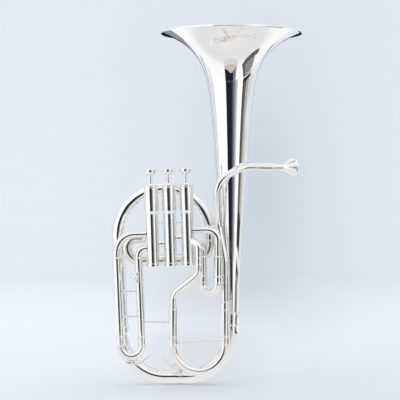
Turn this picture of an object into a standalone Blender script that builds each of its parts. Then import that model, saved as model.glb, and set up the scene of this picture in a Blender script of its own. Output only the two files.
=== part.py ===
"""Alto horn in E flat with three piston valves, standing bell up.

Metres, +Z up. The bell's axis lies in the plane Y = 0, the valves stand in front of it at -Y,
and the mouthpiece points to +X. X is measured from the bell's axis and the origin lies under
the middle of the horn, at the lowest point of the bottom bow.
"""
import math

import bmesh
import bpy
from mathutils import Matrix, Vector

# Walls and clearances
GAP = 0.0003
RUN_GAP = 0.00035
WALL = 0.0006
SLEEVE_WALL = 0.0005
RING_RISE = 0.0006
RING_WIDTH = 0.0016
BEND_SAG = 0.0012

# Bell
BELL_RIM_RADIUS = 0.102
BELL_RIM_Z = 0.506
BELL_END_Z = 0.0930
BELL_THROAT_RADIUS = 0.0099
BELL_STEM_RADIUS = 0.0375
BELL_STEM_CURVE = 1.25
BELL_FLARE_LENGTH = 0.025
BELL_BEAD_RADIUS = 0.0016
BELL_WALL = 0.0007
BELL_FERRULE_HEIGHT = 0.020
BELL_FERRULE_WALL = 0.0009

# Large branches: how far the horn reaches to the left of the bell, and the run of its tubes
HORN_REACH = 0.1722
ARC_RIGHT_X = -0.0307
ARC_TOP_Z = 0.2803
ARC_RADIUS = 0.0665
ARC_Y = 0.004
BRANCH_LEAN = math.radians(2.57)
ARC_START_RADIUS = 0.0081
ARC_END_RADIUS = 0.0085
BRANCH_END_RADIUS = 0.0088
BRANCH_JOINT_Z = 0.163
BOW_JOINT_Z = 0.082
BOW_LEFT_RADIUS = 0.0615
BOW_RIGHT_RADIUS = 0.0669
BOW_TUBE_RADIUS = 0.0096
SOCKET_DEPTH = 0.008

# Valve block
VALVE_X = -0.0866
VALVE_Y = -0.026
VALVE_Z = 0.1695
VALVE_LEAN = math.radians(1.8)
VALVE_PITCH = 0.025
CASING_RADIUS = 0.0089
CASING_BORE = 0.0081
CASING_UPPER_RADIUS = 0.0099
CASING_RING_RADIUS = 0.0096
CASING_RING_Z = 0.0768
CASING_TOP_Z = 0.1128
BOTTOM_CAP_HEIGHT = 0.0052
BOTTOM_CAP_FLOOR = 0.0012
BOTTOM_CAP_RADIUS = 0.0098
TOP_CAP_HEIGHT = 0.0030
TOP_CAP_PLUG = 0.0040
CAP_COLLAR_RADIUS = 0.0040
CAP_COLLAR_HEIGHT = 0.0024

# Pistons, stems, buttons and springs
PISTON_RADIUS = 0.00775
PISTON_BOTTOM_Z = 0.0190
PISTON_TOP_Z = 0.0980
VALVE_STROKE = 0.0120
PASSAGE_RADIUS = 0.0036
PASSAGE_OFFSET = 0.0016
STEM_RADIUS = 0.0025
STOP_RADIUS = 0.0046
STOP_HEIGHT = 0.0045
BUTTON_RADIUS = 0.0083
BUTTON_HEIGHT = 0.0092
SPRING_RADIUS = 0.0062
SPRING_WIRE = 0.0004
SPRING_CURLS = 4

# Valve tubes and slides: outer radii of the fixed tubes and of the legs that slide in them
TUBE_RADIUS = 0.0052
PORT_RADIUS = 0.0044
PORT_DRILL_LENGTH = 0.0040
VALVE_LEG_RADIUS = 0.0048
THIRD_LEG_RADIUS = 0.0049
MAIN_LEG_RADIUS = 0.0055
FERRULE_LENGTH = 0.0110
SHORT_FERRULE_LENGTH = 0.0085

# Ports: each is (height above the valve's foot, azimuth about its axis)
FIRST_IN = (0.0340, math.radians(-38))
FIRST_OUT = (0.0404, math.radians(180))
FIRST_SLIDE_FRONT = (0.0505, math.radians(-4))
FIRST_SLIDE_REAR = (0.0310, math.radians(32))
SECOND_IN = (0.0404, math.radians(0))
SECOND_OUT = (0.0330, math.radians(180))
SECOND_SLIDE_UPPER = (0.0470, math.radians(90))
SECOND_SLIDE_LOWER = (0.0270, math.radians(90))
THIRD_IN = (0.0330, math.radians(0))
THIRD_OUT = (0.0404, math.radians(115))
THIRD_SLIDE_UPPER = (0.0472, math.radians(180))
THIRD_SLIDE_LOWER = (0.0270, math.radians(180))

# First valve slide, to the right of the valves
FIRST_FRONT_X = -0.0199
FIRST_REAR_X = -0.0404
FIRST_FRONT_BEND = 0.015
FIRST_REAR_BEND = 0.011
FIRST_SLEEVE_TOP_Z = 0.1843
FIRST_SLEEVE_END_Z = 0.1543
FIRST_LEG_LENGTH = 0.026

# Second valve slide, behind the valves
SECOND_SLEEVE_START_Y = 0.0125
SECOND_SLEEVE_END_Y = 0.034
SECOND_LEG_LENGTH = 0.019

# Third valve slide, at the left
THIRD_LEAN = math.radians(2.4)
THIRD_OUTER_X = -0.1633
THIRD_INNER_X = -0.1326
THIRD_LEG_Z = 0.176
THIRD_OUTER_BEND = 0.026
THIRD_INNER_BEND = 0.011
THIRD_SLEEVE_TOP_Z = 0.1825
THIRD_SLEEVE_END_Z = 0.0685
THIRD_LEG_LENGTH = 0.070
THIRD_BRACE_HEIGHTS = (0.1334, 0.0978)

# Rear branch, from the third valve round the back of the valves
REAR_Y = -0.006
REAR_LEFT_X = -0.1496
REAR_UPPER_BEND = 0.013
REAR_LOWER_BEND = 0.019
REAR_PORT_BEND = 0.012
REAR_RIGHT_BEND = 0.024
REAR_Z = 0.1766
REAR_START_RADIUS = 0.0069
REAR_END_RADIUS = 0.0076

# Bend from the first valve down to the tuning slide, and the tuning slide itself
S_BEND_X = -0.0471
S_BEND_Y_STEP = 0.003
S_BEND_UPPER_Z = 0.1584
S_BEND_LOWER_Z = 0.1300
S_BEND_RADIUS = 0.018
S_BEND_PORT_BEND = 0.010
S_BEND_FERRULE_Z = (0.1730, 0.1830)
MAIN_LEFT_X = -0.0833
MAIN_LEFT_Y = -0.028
MAIN_RIGHT_X = -0.0096
MAIN_RIGHT_Y = -0.018
MAIN_SLEEVE_END_Z = 0.0683
MAIN_LEFT_SLEEVE_TOP_Z = 0.1130
MAIN_RIGHT_SLEEVE_TOP_Z = 0.1194
MAIN_RIGHT_FERRULE_Z = 0.1080
MAIN_LEG_LENGTH = 0.034
MAIN_BRACE_LEFT_Z = 0.0607
MAIN_BRACE_RIGHT_Z = 0.0640
MAIN_KNOB_RADIUS = 0.0024

# Leadpipe, mouthpiece receiver and mouthpiece
LEADPIPE_END_RADIUS = 0.0054
LEADPIPE_START_RADIUS = 0.0049
LEADPIPE_END_Z = 0.1120
LEADPIPE_LOW_TURN = math.radians(240.5)
LEADPIPE_LOW_Z = 0.1756
LEADPIPE_KNEE = (-0.0195, -0.0150, 0.2299)
LEADPIPE_SHOULDER = (-0.0222, -0.0334, 0.2913)
LEADPIPE_CROSSING = (0.0164, -0.0251, 0.3115)
LEADPIPE_LOW_BEND = 0.060
LEADPIPE_KNEE_BEND = 0.055
LEADPIPE_SHOULDER_BEND = 0.031
LEADPIPE_CROSSING_BEND = 0.040
RECEIVER_TURN = math.radians(36)
RECEIVER_START = 0.0195
RECEIVER_LENGTH = 0.0358
RECEIVER_RADIUS = 0.0055
SHANK_DEPTH = 0.020
SHANK_END_RADIUS = 0.0034
SHANK_RADIUS = 0.0041
SHANK_OPEN_LENGTH = 0.0136
MOUTHPIECE_THROAT_RADIUS = 0.0021
CUP_LENGTH = 0.0195
CUP_RIM_RADIUS = 0.0132
CUP_RIM_HEIGHT = 0.0047
CUP_BORE_RADIUS = 0.0090
CUP_DEPTH = 0.0140

# Braces
ROD_RADIUS = 0.0015
FOOT_RADIUS = 0.0030
FOOT_HEIGHT = 0.0022
CASING_BRACE_HEIGHTS = (0.0170, 0.0626)
LOWER_ROD_Z = 0.0908
BELL_BRACE_Z = 0.1740
BELL_BRACE_RADIUS = 0.0024
BELL_BRACE_LENGTH = 0.0013
LEADPIPE_BRACE_Z = 0.2255

# Water keys
KEY_HINGE_HEIGHT = 0.0046
KEY_PIN_RADIUS = 0.0012
KEY_BARREL_RADIUS = 0.0019
KEY_BARREL_LENGTH = 0.0050
KEY_EAR_RADIUS = 0.0008
KEY_SPINE_RADIUS = 0.0009
KEY_ROD_RADIUS = 0.0012
KEY_CUP_RADIUS = 0.0038
KEY_CUP_THICKNESS = 0.0016
KEY_NIPPLE_RADIUS = 0.0028
KEY_NIPPLE_HEIGHT = 0.0027
KEY_TIP_LENGTH = 0.0190
MAIN_KEY_TIP_RISE = 0.0037
THIRD_KEY_TIP_RISE = -0.0025
KEY_TIP_RADIUS = 0.0026
MAIN_KEY_HINGE_ANGLE = math.radians(218)
MAIN_KEY_CUP_ANGLE = math.radians(234)
THIRD_KEY_HINGE_ANGLE = math.radians(289)
THIRD_KEY_CUP_ANGLE = math.radians(259)

# Lyre socket on the third slide
LYRE_Z = 0.1545
LYRE_AZIMUTH = math.radians(252)
LYRE_SOCKET_RADIUS = 0.0028
LYRE_SOCKET_BORE = 0.0014
LYRE_SOCKET_HEIGHT = 0.0150
LYRE_BALL_RADIUS = 0.0040
LYRE_SCREW_RADIUS = 0.0012

# Numbers of sides
BELL_SIDES = 22
BRANCH_SIDES = 12
TUBE_SIDES = 8
CASING_SIDES = 14
CAP_SIDES = 14
SMALL_SIDES = 6
BUTTON_SIDES = 12

SILVER = ((0.93, 0.93, 0.91), 0.08, 1.0)
BUTTON_SILVER = ((0.90, 0.90, 0.86), 0.12, 1.0)
PISTON_METAL = ((0.72, 0.71, 0.68), 0.25, 1.0)
SPRING_STEEL = ((0.55, 0.56, 0.58), 0.30, 1.0)

BELL_X = (HORN_REACH - BELL_RIM_RADIUS) / 2
BOW_Z = BOW_TUBE_RADIUS
SIDEWAYS = Vector((0, 1, 0))
UPWARDS = Vector((0, 0, 1))


def at(x, y, z):
    """The point at this distance from the bell's axis, in the horn's frame."""
    return Vector((BELL_X + x, y, z))


BLOCK = Matrix.Translation(at(VALVE_X, VALVE_Y, VALVE_Z)) @ Matrix.Rotation(-VALVE_LEAN, 4, "Y")
VALVE_OFFSETS = {1: VALVE_PITCH, 2: 0.0, 3: -VALVE_PITCH}


def clear_scene():
    for obj in list(bpy.data.objects):
        bpy.data.objects.remove(obj, do_unlink=True)


def finish_material(name, look):
    """A Principled material: colour, roughness and metallic value."""
    colour, roughness, metallic = look
    material = bpy.data.materials.new(name)
    material.use_nodes = True
    shader = material.node_tree.nodes["Principled BSDF"]
    shader.inputs["Base Color"].default_value = (*colour, 1.0)
    shader.inputs["Roughness"].default_value = roughness
    shader.inputs["Metallic"].default_value = metallic
    return material


def new_object(name, bm, look, matrix, parent=None):
    """Puts a finished bmesh into the scene, shaded smooth, at a matrix under its parent."""
    bmesh.ops.recalc_face_normals(bm, faces=bm.faces)
    mesh = bpy.data.meshes.new(name)
    bm.to_mesh(mesh)
    bm.free()
    mesh.shade_smooth()
    mesh.set_sharp_from_angle(angle=math.radians(40))
    mesh.materials.append(finish_material(name + "_finish", look))
    obj = bpy.data.objects.new(name, mesh)
    bpy.context.scene.collection.objects.link(obj)
    obj.parent = parent
    obj.matrix_local = matrix
    return obj


def new_empty(name, matrix, parent=None):
    empty = bpy.data.objects.new(name, None)
    empty.empty_display_size = 0.02
    bpy.context.scene.collection.objects.link(empty)
    empty.parent = parent
    empty.matrix_local = matrix
    return empty


def as_cutter(obj):
    obj.hide_render = True
    obj.display_type = "WIRE"
    return obj


def combine(obj, other, operation):
    """Cuts or joins with a hidden object."""
    modifier = obj.modifiers.new(operation.lower(), "BOOLEAN")
    modifier.operation = operation
    modifier.object = other
    modifier.solver = "EXACT"


# Routes: a list of (point, tangent) along straight runs and round bends
def bend_steps(angle, radius):
    """How many chords keep within the sag of a bend."""
    chord = 2 * math.acos(1 - BEND_SAG / radius)
    return max(2, math.ceil(angle / chord - 0.3))


def bent(corners, radii):
    """The route through these corners, each inner one rounded to its bend radius."""
    points = [Vector(corner) for corner in corners]
    route = [(points[0], (points[1] - points[0]).normalized())]
    for before, corner, after, radius in zip(points, points[1:], points[2:], radii):
        incoming = (corner - before).normalized()
        outgoing = (after - corner).normalized()
        angle = incoming.angle(outgoing)
        axis = incoming.cross(outgoing).normalized()
        start = corner - incoming * radius * math.tan(angle / 2)
        centre = start + axis.cross(incoming) * radius
        steps = bend_steps(angle, radius)
        for step in range(steps + 1):
            turn = Matrix.Rotation(angle * step / steps, 3, axis)
            route.append((centre + turn @ (start - centre), turn @ incoming))
    route.append((points[-1], (points[-1] - points[-2]).normalized()))
    kept = [route[0]]
    for station in route[1:]:
        if (station[0] - kept[-1][0]).length > 1e-5:
            kept.append(station)
    return kept


def distances(route):
    """How far each station lies along the route."""
    total = 0.0
    found = [0.0]
    for (before, _), (after, _) in zip(route, route[1:]):
        total += (after - before).length
        found.append(total)
    return found


def station_at(route, along, distance):
    """The point and the tangent at a distance along the route."""
    for index in range(len(along) - 1):
        if distance <= along[index + 1] + 1e-9:
            break
    share = (distance - along[index]) / (along[index + 1] - along[index])
    point = route[index][0].lerp(route[index + 1][0], share)
    tangent = route[index][1].lerp(route[index + 1][1], share).normalized()
    return point, tangent


def radii_at(profile, distance):
    """The radius there, or the two radii of a step."""
    steps = [radius for mark, radius in profile if abs(mark - distance) < 1e-7]
    if steps:
        return steps[:2]
    for (first, radius), (second, other) in zip(profile, profile[1:]):
        if first < distance < second:
            return [radius + (other - radius) * (distance - first) / (second - first)]
    return []


def ring(bm, point, tangent, across, radius, sides):
    side = tangent.cross(across).normalized()
    up = side.cross(tangent)
    turns = [2 * math.pi * index / sides for index in range(sides)]
    return [bm.verts.new(point + (side * math.cos(a) + up * math.sin(a)) * radius) for a in turns]


def skin(bm, route, profile, across, sides):
    """The surface of this radius profile along the route. Returns its first and last rings."""
    along = distances(route)
    marks = sorted({round(mark, 7) for mark in along} | {round(mark, 7) for mark, _ in profile})
    rings = []
    for mark in marks:
        point, tangent = station_at(route, along, mark)
        for radius in radii_at(profile, mark):
            rings.append(ring(bm, point, tangent, across, radius, sides))
    for before, after in zip(rings, rings[1:]):
        for index in range(sides):
            following = (index + 1) % sides
            bm.faces.new((before[index], before[following], after[following], after[index]))
    return rings[0], rings[-1]


def close_end(bm, outer, inner):
    """Fills the wall at a tube's end. The bore has as many sides as the outside, or half as many."""
    ratio = len(outer) // len(inner)
    for index, vert in enumerate(inner):
        following = inner[(index + 1) % len(inner)]
        edge = [outer[(ratio * index + step) % len(outer)] for step in range(ratio + 1)]
        bm.faces.new((*edge, following, vert))


def tube(name, route, outer, bore, sides=TUBE_SIDES, bore_sides=None, across=SIDEWAYS, parent=None):
    """A hollow tube along a route. outer and bore are its radii, as (distance, radius) marks."""
    origin = route[0][0].copy()
    local = [(point - origin, tangent) for point, tangent in route]
    bm = bmesh.new()
    outer_ends = skin(bm, local, outer, across, sides)
    bore_ends = skin(bm, local, bore, across, bore_sides or sides // 2)
    for outer_end, bore_end in zip(outer_ends, bore_ends):
        close_end(bm, outer_end, bore_end)
    return new_object(name, bm, SILVER, Matrix.Translation(origin), parent)


def rod(name, route, profile, look=SILVER, sides=SMALL_SIDES, across=SIDEWAYS, parent=None):
    """A solid bar along a route."""
    origin = route[0][0].copy()
    local = [(point - origin, tangent) for point, tangent in route]
    bm = bmesh.new()
    for end in skin(bm, local, profile, across, sides):
        bm.faces.new(end)
    return new_object(name, bm, look, Matrix.Translation(origin), parent)


def plain(route, radius, end_radius=None):
    """A radius profile with an even taper, or none, over the whole route."""
    length = distances(route)[-1]
    return [(0.0, radius), (length, radius if end_radius is None else end_radius)]


def with_steps(route, radius, bands, end_radius=None):
    """A plain profile with raised bands, each (start, end, radius) along the route."""
    length = distances(route)[-1]
    last = radius if end_radius is None else end_radius
    base = [(0.0, radius), (length, last)]
    profile = [(0.0, radius)]
    for start, end, raised in sorted(bands):
        if start > 1e-7:
            profile.append((start, radii_at(base, start)[0]))
            profile.append((start, raised))
        else:
            profile = [(0.0, raised)]
        profile.append((end, raised))
        if end < length - 1e-7:
            profile.append((end, radii_at(base, end)[0]))
    if profile[-1][0] < length - 1e-7:
        profile.append((length, last))
    return [(round(mark, 7), value) for mark, value in profile]


# Turned pieces: a profile of (radius, height) spun about the local Z axis
def spun(profile, sides, closed=False):
    bm = bmesh.new()
    verts = [bm.verts.new((radius, 0.0, height)) for radius, height in profile]
    edges = [bm.edges.new(pair) for pair in zip(verts, verts[1:])]
    if closed:
        edges.append(bm.edges.new((verts[-1], verts[0])))
    bmesh.ops.spin(
        bm, geom=verts + edges, cent=(0, 0, 0), axis=(0, 0, 1), angle=2 * math.pi, steps=sides
    )
    bmesh.ops.remove_doubles(bm, verts=bm.verts, dist=1e-6)
    return bm


def turned(name, profile, matrix, look=SILVER, sides=CASING_SIDES, closed=False, parent=None):
    return new_object(name, spun(profile, sides, closed), look, matrix, parent)


def facing(point, direction):
    """The matrix that puts local Z along a direction, at a point."""
    turn = direction.normalized().to_track_quat("Z", "Y").to_matrix().to_4x4()
    return Matrix.Translation(point) @ turn


def strut(name, start, start_radius, end, end_radius, radius=ROD_RADIUS, parent=None):
    """A brace between two tubes, from the axis of one to the axis of the other, with flared feet."""
    direction = (end - start).normalized()
    base = start + direction * (start_radius + GAP)
    length = (end - start).length - start_radius - end_radius - 2 * GAP
    foot = FOOT_RADIUS
    height = min(FOOT_HEIGHT, length / 3)
    pad = height / 4
    profile = [
        (0, 0),
        (foot, 0),
        (foot, pad),
        (radius, height),
        (radius, length - height),
        (foot, length - pad),
        (foot, length),
        (0, length),
    ]
    return turned(name, profile, facing(base, direction), sides=SMALL_SIDES, parent=parent)


# Bell
def bell_radius(z):
    """Outer radius of the bell at a height: a curved stem and a flare that dies away below the rim."""
    drop = BELL_RIM_Z - z
    length = BELL_RIM_Z - BELL_END_Z
    stem = (BELL_STEM_RADIUS - BELL_THROAT_RADIUS) * max(0.0, 1 - drop / length) ** BELL_STEM_CURVE
    flare = (BELL_RIM_RADIUS - BELL_STEM_RADIUS) * math.exp(-drop / BELL_FLARE_LENGTH)
    return BELL_THROAT_RADIUS + stem + flare


def bell_heights():
    """Heights down the bell, close together in the flare and further apart along the stem."""
    flare = [share * BELL_FLARE_LENGTH for share in (0.07, 0.20, 0.42, 0.80, 1.30, 1.95, 2.90)]
    stem = [share * (BELL_RIM_Z - BELL_END_Z) for share in (0.30, 0.52, 0.75, 1.0)]
    return [BELL_RIM_Z - drop for drop in flare + stem]


def bell_wall_points(inset):
    """Points down the bell's wall, moved inwards along the wall's normal."""
    points = []
    step = 1e-5
    for z in bell_heights():
        slope = 0.0
        if z > BELL_END_Z + step:
            slope = (bell_radius(z + step) - bell_radius(z - step)) / (2 * step)
        normal = Vector((-1.0, slope)).normalized()
        points.append((bell_radius(z) + normal.x * inset, z + normal.y * inset))
    points[-1] = (BELL_THROAT_RADIUS - inset, BELL_END_Z)
    return points


def make_bell():
    outside = bell_wall_points(0.0)
    inside = bell_wall_points(BELL_WALL)
    centre = Vector((BELL_RIM_RADIUS - BELL_BEAD_RADIUS, BELL_RIM_Z - BELL_BEAD_RADIUS))
    turns = [math.radians(-60 + 50 * index) for index in range(5)]
    bead = [centre + Vector((math.cos(a), math.sin(a))) * BELL_BEAD_RADIUS for a in turns]
    profile = outside[::-1] + [tuple(point) for point in bead] + inside
    return turned("bell", profile, Matrix.Translation(at(0, 0, 0)), sides=BELL_SIDES, closed=True)


def make_bell_ferrule():
    inner = BELL_THROAT_RADIUS + GAP * 1.5
    outer = inner + BELL_FERRULE_WALL
    low = BELL_END_Z - BELL_FERRULE_HEIGHT / 2
    high = BELL_END_Z + BELL_FERRULE_HEIGHT / 2
    profile = [
        (inner + 0.0004, high),
        (outer + 0.0005, high),
        (outer + 0.0005, high - RING_WIDTH),
        (outer, high - RING_WIDTH),
        (outer, low + RING_WIDTH),
        (outer + 0.0005, low + RING_WIDTH),
        (outer + 0.0005, low),
        (inner + 0.0004, low),
    ]
    return turned("bell_ferrule", profile, Matrix.Translation(at(0, 0, 0)), closed=True)


# Large branches
def left_x(z):
    """X of the leaning left branch's centre line."""
    top = -HORN_REACH + ARC_END_RADIUS
    return top + (ARC_TOP_Z - ARC_RADIUS - z) * math.tan(BRANCH_LEAN)


def branch_y(z):
    """The left branch runs from the plane of the arc to the plane of the bell."""
    span = ARC_TOP_Z - ARC_RADIUS - BOW_JOINT_Z
    return ARC_Y * max(0.0, min(1.0, (z - BOW_JOINT_Z) / span))


def left_point(z):
    return at(left_x(z), branch_y(z), z)


def arc_end_z():
    return BRANCH_JOINT_Z + GAP


def make_top_branch():
    start = at(ARC_RIGHT_X, ARC_Y, ARC_TOP_Z - ARC_RADIUS - SOCKET_DEPTH)
    corners = [
        start,
        at(ARC_RIGHT_X, ARC_Y, ARC_TOP_Z),
        at(left_x(ARC_TOP_Z), ARC_Y, ARC_TOP_Z),
        left_point(arc_end_z()),
    ]
    route = bent(corners, [ARC_RADIUS, ARC_RADIUS])
    outer = plain(route, ARC_START_RADIUS, ARC_END_RADIUS)
    bore = plain(route, ARC_START_RADIUS - WALL, ARC_END_RADIUS - WALL)
    return tube("top_branch", route, outer, bore, sides=BRANCH_SIDES)


def make_left_branch():
    """The short tube at the left, with a socket at each end for the top branch and the bottom bow."""
    high = left_point(BRANCH_JOINT_Z + SOCKET_DEPTH)
    low = left_point(BOW_JOINT_Z - SOCKET_DEPTH)
    route = bent([high, low], [])
    length = distances(route)[-1]
    socket = SOCKET_DEPTH + GAP
    high_bore = ARC_END_RADIUS + GAP * 1.5
    low_bore = BRANCH_END_RADIUS + GAP * 1.5
    bands = [(0.0, socket + WALL, high_bore + WALL), (length - socket - WALL, length, low_bore + WALL)]
    outer = with_steps(route, ARC_END_RADIUS, bands, BRANCH_END_RADIUS)
    bore = [
        (0.0, high_bore),
        (socket, high_bore),
        (socket, ARC_END_RADIUS - WALL),
        (length - socket, BRANCH_END_RADIUS - WALL),
        (length - socket, low_bore),
        (length, low_bore),
    ]
    bore = [(round(mark, 7), radius) for mark, radius in bore]
    return tube("left_branch", route, outer, bore, BRANCH_SIDES, BRANCH_SIDES)


def make_bottom_bow():
    corners = [
        left_point(BOW_JOINT_Z - GAP),
        at(left_x(BOW_Z), 0, BOW_Z),
        at(0, 0, BOW_Z),
        at(0, 0, BELL_END_Z - GAP),
    ]
    route = bent(corners, [BOW_LEFT_RADIUS, BOW_RIGHT_RADIUS])
    length = distances(route)[-1]
    marks = [(0.0, BRANCH_END_RADIUS), (length / 2, BOW_TUBE_RADIUS), (length, BELL_THROAT_RADIUS)]
    outer = [(round(mark, 7), radius) for mark, radius in marks]
    bore = [(mark, radius - WALL) for mark, radius in outer]
    return tube("bottom_bow", route, outer, bore, BRANCH_SIDES)


# Valve ports
def port_axis(valve, port):
    """Where this port's line meets the valve's axis, and the way it points."""
    height, azimuth = port
    centre = BLOCK @ Vector((VALVE_OFFSETS[valve], 0, height))
    direction = BLOCK.to_3x3() @ Vector((math.cos(azimuth), math.sin(azimuth), 0))
    return centre, direction


def port_reach(valve, port, x):
    """The point on this port's line at a distance from the bell's axis."""
    centre, direction = port_axis(valve, port)
    return centre + direction * ((BELL_X + x - centre.x) / direction.x)


def cylinder(name, start, end, radius, parent=None, sides=TUBE_SIDES):
    """A plain hidden cylinder between two points."""
    bm = spun([(0, 0), (radius, 0), (radius, (end - start).length), (0, (end - start).length)], sides)
    return as_cutter(new_object(name, bm, SILVER, facing(start, end - start), parent))


def make_cope_cutters(block):
    """For each valve, the cylinder that a tube's end is shaped to, so that it seats on the casing."""
    cutters = {}
    for valve, offset in VALVE_OFFSETS.items():
        radius = CASING_RADIUS + GAP
        low = Vector((offset, 0, 0))
        high = Vector((offset, 0, CASING_RING_Z))
        cutters[valve] = cylinder(f"cope_{valve}", low, high, radius, block, sides=32)
    return cutters


def leg_sleeve(leg_radius):
    """Bore and outer radius of the sleeve that a slide's leg runs in."""
    bore = leg_radius + RUN_GAP
    return bore, bore + SLEEVE_WALL


def sleeve_tube(name, route, sleeve_length, leg_radius, cope, across=SIDEWAYS, parent=None):
    """A valve tube that ends in the sleeve of a slide, with a ring at each end of the sleeve."""
    length = distances(route)[-1]
    start = length - sleeve_length
    bore_radius, outer_radius = leg_sleeve(leg_radius)
    raised = outer_radius + RING_RISE
    outer = [
        (0.0, TUBE_RADIUS),
        (start, TUBE_RADIUS),
        (start, raised),
        (start + RING_WIDTH, raised),
        (start + RING_WIDTH, outer_radius),
        (length - RING_WIDTH, outer_radius),
        (length - RING_WIDTH, raised),
        (length, raised),
    ]
    bore = [
        (0.0, TUBE_RADIUS - WALL),
        (start + WALL, TUBE_RADIUS - WALL),
        (start + WALL, bore_radius),
        (length, bore_radius),
    ]
    rounded = [[(round(mark, 7), radius) for mark, radius in profile] for profile in (outer, bore)]
    obj = tube(name, route, *rounded, TUBE_SIDES, TUBE_SIDES, across, parent)
    combine(obj, cope, "DIFFERENCE")
    return obj


def slide_profiles(route, leg_radius, leg_length, ferrule_length):
    """Radii along a slide: a leg, a ferrule, the bow, a ferrule and the other leg."""
    length = distances(route)[-1]
    ferrule = leg_sleeve(leg_radius)[1] + RING_RISE / 2
    bow = leg_sleeve(leg_radius)[1] - RING_RISE / 2
    first = leg_length + ferrule_length
    outer = [
        (0.0, leg_radius),
        (leg_length, leg_radius),
        (leg_length, ferrule),
        (first, ferrule),
        (first, bow),
        (length - first, bow),
        (length - first, ferrule),
        (length - leg_length, ferrule),
        (length - leg_length, leg_radius),
        (length, leg_radius),
    ]
    return [(round(mark, 7), radius) for mark, radius in outer], plain(route, leg_radius - WALL)


def make_slide(name, corners, bend, leg_radius, leg_length, ferrule_length, parent, across=SIDEWAYS):
    """A U-shaped slide. leg_length is how far a leg reaches into its sleeve."""
    route = bent(corners, [bend, bend])
    outer, bore = slide_profiles(route, leg_radius, leg_length, ferrule_length)
    return tube(name, route, outer, bore, across=across, parent=parent)


# Rear branch
def make_rear_branch(copes):
    centre, direction = port_axis(3, THIRD_OUT)
    turn = centre + direction * ((REAR_Y - centre.y) / direction.y)
    height = turn.z
    end_z = ARC_TOP_Z - ARC_RADIUS
    corners = [
        centre,
        turn,
        Vector((BELL_X + REAR_LEFT_X, REAR_Y, height)),
        Vector((BELL_X + REAR_LEFT_X, REAR_Y, REAR_Z)),
        at(ARC_RIGHT_X, ARC_Y, REAR_Z),
        at(ARC_RIGHT_X, ARC_Y, end_z),
    ]
    bends = [REAR_PORT_BEND, REAR_UPPER_BEND, REAR_LOWER_BEND, REAR_RIGHT_BEND]
    route = bent(corners, bends)
    length = distances(route)[-1]
    socket_bore = ARC_START_RADIUS + GAP * 1.5
    socket = length - SOCKET_DEPTH - GAP
    outer = [
        (0.0, TUBE_RADIUS),
        (0.030, REAR_START_RADIUS),
        (round(socket - WALL, 7), REAR_END_RADIUS),
        (round(socket - WALL, 7), socket_bore + WALL),
        (length, socket_bore + WALL),
    ]
    bore = [
        (0.0, TUBE_RADIUS - WALL),
        (0.030, REAR_START_RADIUS - WALL),
        (round(socket, 7), REAR_END_RADIUS - WALL),
        (round(socket, 7), socket_bore),
        (length, socket_bore),
    ]
    branch = tube("rear_branch", route, outer, bore, BRANCH_SIDES, BRANCH_SIDES)
    combine(branch, copes[3], "DIFFERENCE")
    return branch


# Leadpipe
def receiver_direction():
    return Vector((math.cos(RECEIVER_TURN), math.sin(RECEIVER_TURN), 0))


def receiver_point(distance):
    """A point on the mouthpiece's axis, measured from the leadpipe's last bend."""
    return at(*LEADPIPE_CROSSING) + receiver_direction() * distance


def main_right(z):
    return at(MAIN_RIGHT_X, MAIN_RIGHT_Y, z)


def main_left(z):
    return at(MAIN_LEFT_X, MAIN_LEFT_Y, z)


def leadpipe_low():
    """The leadpipe's lowest corner, beside the bell and off its wall by the length of their brace."""
    reach = bell_radius(BELL_BRACE_Z) + BELL_BRACE_LENGTH + LEADPIPE_END_RADIUS
    turn = LEADPIPE_LOW_TURN
    return at(reach * math.cos(turn), reach * math.sin(turn), LEADPIPE_LOW_Z)


def leadpipe_route():
    corners = [
        receiver_point(RECEIVER_START + SOCKET_DEPTH),
        at(*LEADPIPE_CROSSING),
        at(*LEADPIPE_SHOULDER),
        at(*LEADPIPE_KNEE),
        leadpipe_low(),
        main_right(LEADPIPE_END_Z),
    ]
    bends = [LEADPIPE_CROSSING_BEND, LEADPIPE_SHOULDER_BEND, LEADPIPE_KNEE_BEND, LEADPIPE_LOW_BEND]
    return bent(corners, bends)


def make_leadpipe():
    route = leadpipe_route()
    outer = plain(route, LEADPIPE_START_RADIUS, LEADPIPE_END_RADIUS)
    bore = plain(route, LEADPIPE_START_RADIUS - WALL, LEADPIPE_END_RADIUS - WALL)
    return tube("leadpipe", route, outer, bore)


def make_receiver():
    """The socket of the mouthpiece, sleeved over the leadpipe's end, with a bead at each end."""
    pipe_bore = LEADPIPE_START_RADIUS + GAP
    shank_mouth = SHANK_RADIUS + GAP
    shank_foot = SHANK_END_RADIUS + GAP
    step = SOCKET_DEPTH + GAP
    bead = RECEIVER_RADIUS + RING_RISE
    floor = RECEIVER_LENGTH - SHANK_DEPTH - GAP
    profile = [
        (bead, 0),
        (bead, RING_WIDTH),
        (RECEIVER_RADIUS, RING_WIDTH),
        (RECEIVER_RADIUS, RECEIVER_LENGTH - 2 * RING_WIDTH),
        (bead, RECEIVER_LENGTH - 2 * RING_WIDTH),
        (bead, RECEIVER_LENGTH),
        (shank_mouth, RECEIVER_LENGTH),
        (shank_foot, floor),
        (shank_foot, max(step, floor - 0.001)),
        (pipe_bore, step),
        (pipe_bore, 0),
    ]
    matrix = facing(receiver_point(RECEIVER_START), receiver_direction())
    return turned("mouthpiece_receiver", profile, matrix, sides=TUBE_SIDES + 4, closed=True)


def cup_outside(share):
    """Outer radius of the cup at a share of its length: it swells from the shank to the rim."""
    return SHANK_RADIUS + (CUP_RIM_RADIUS - SHANK_RADIUS) * share**1.15


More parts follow.
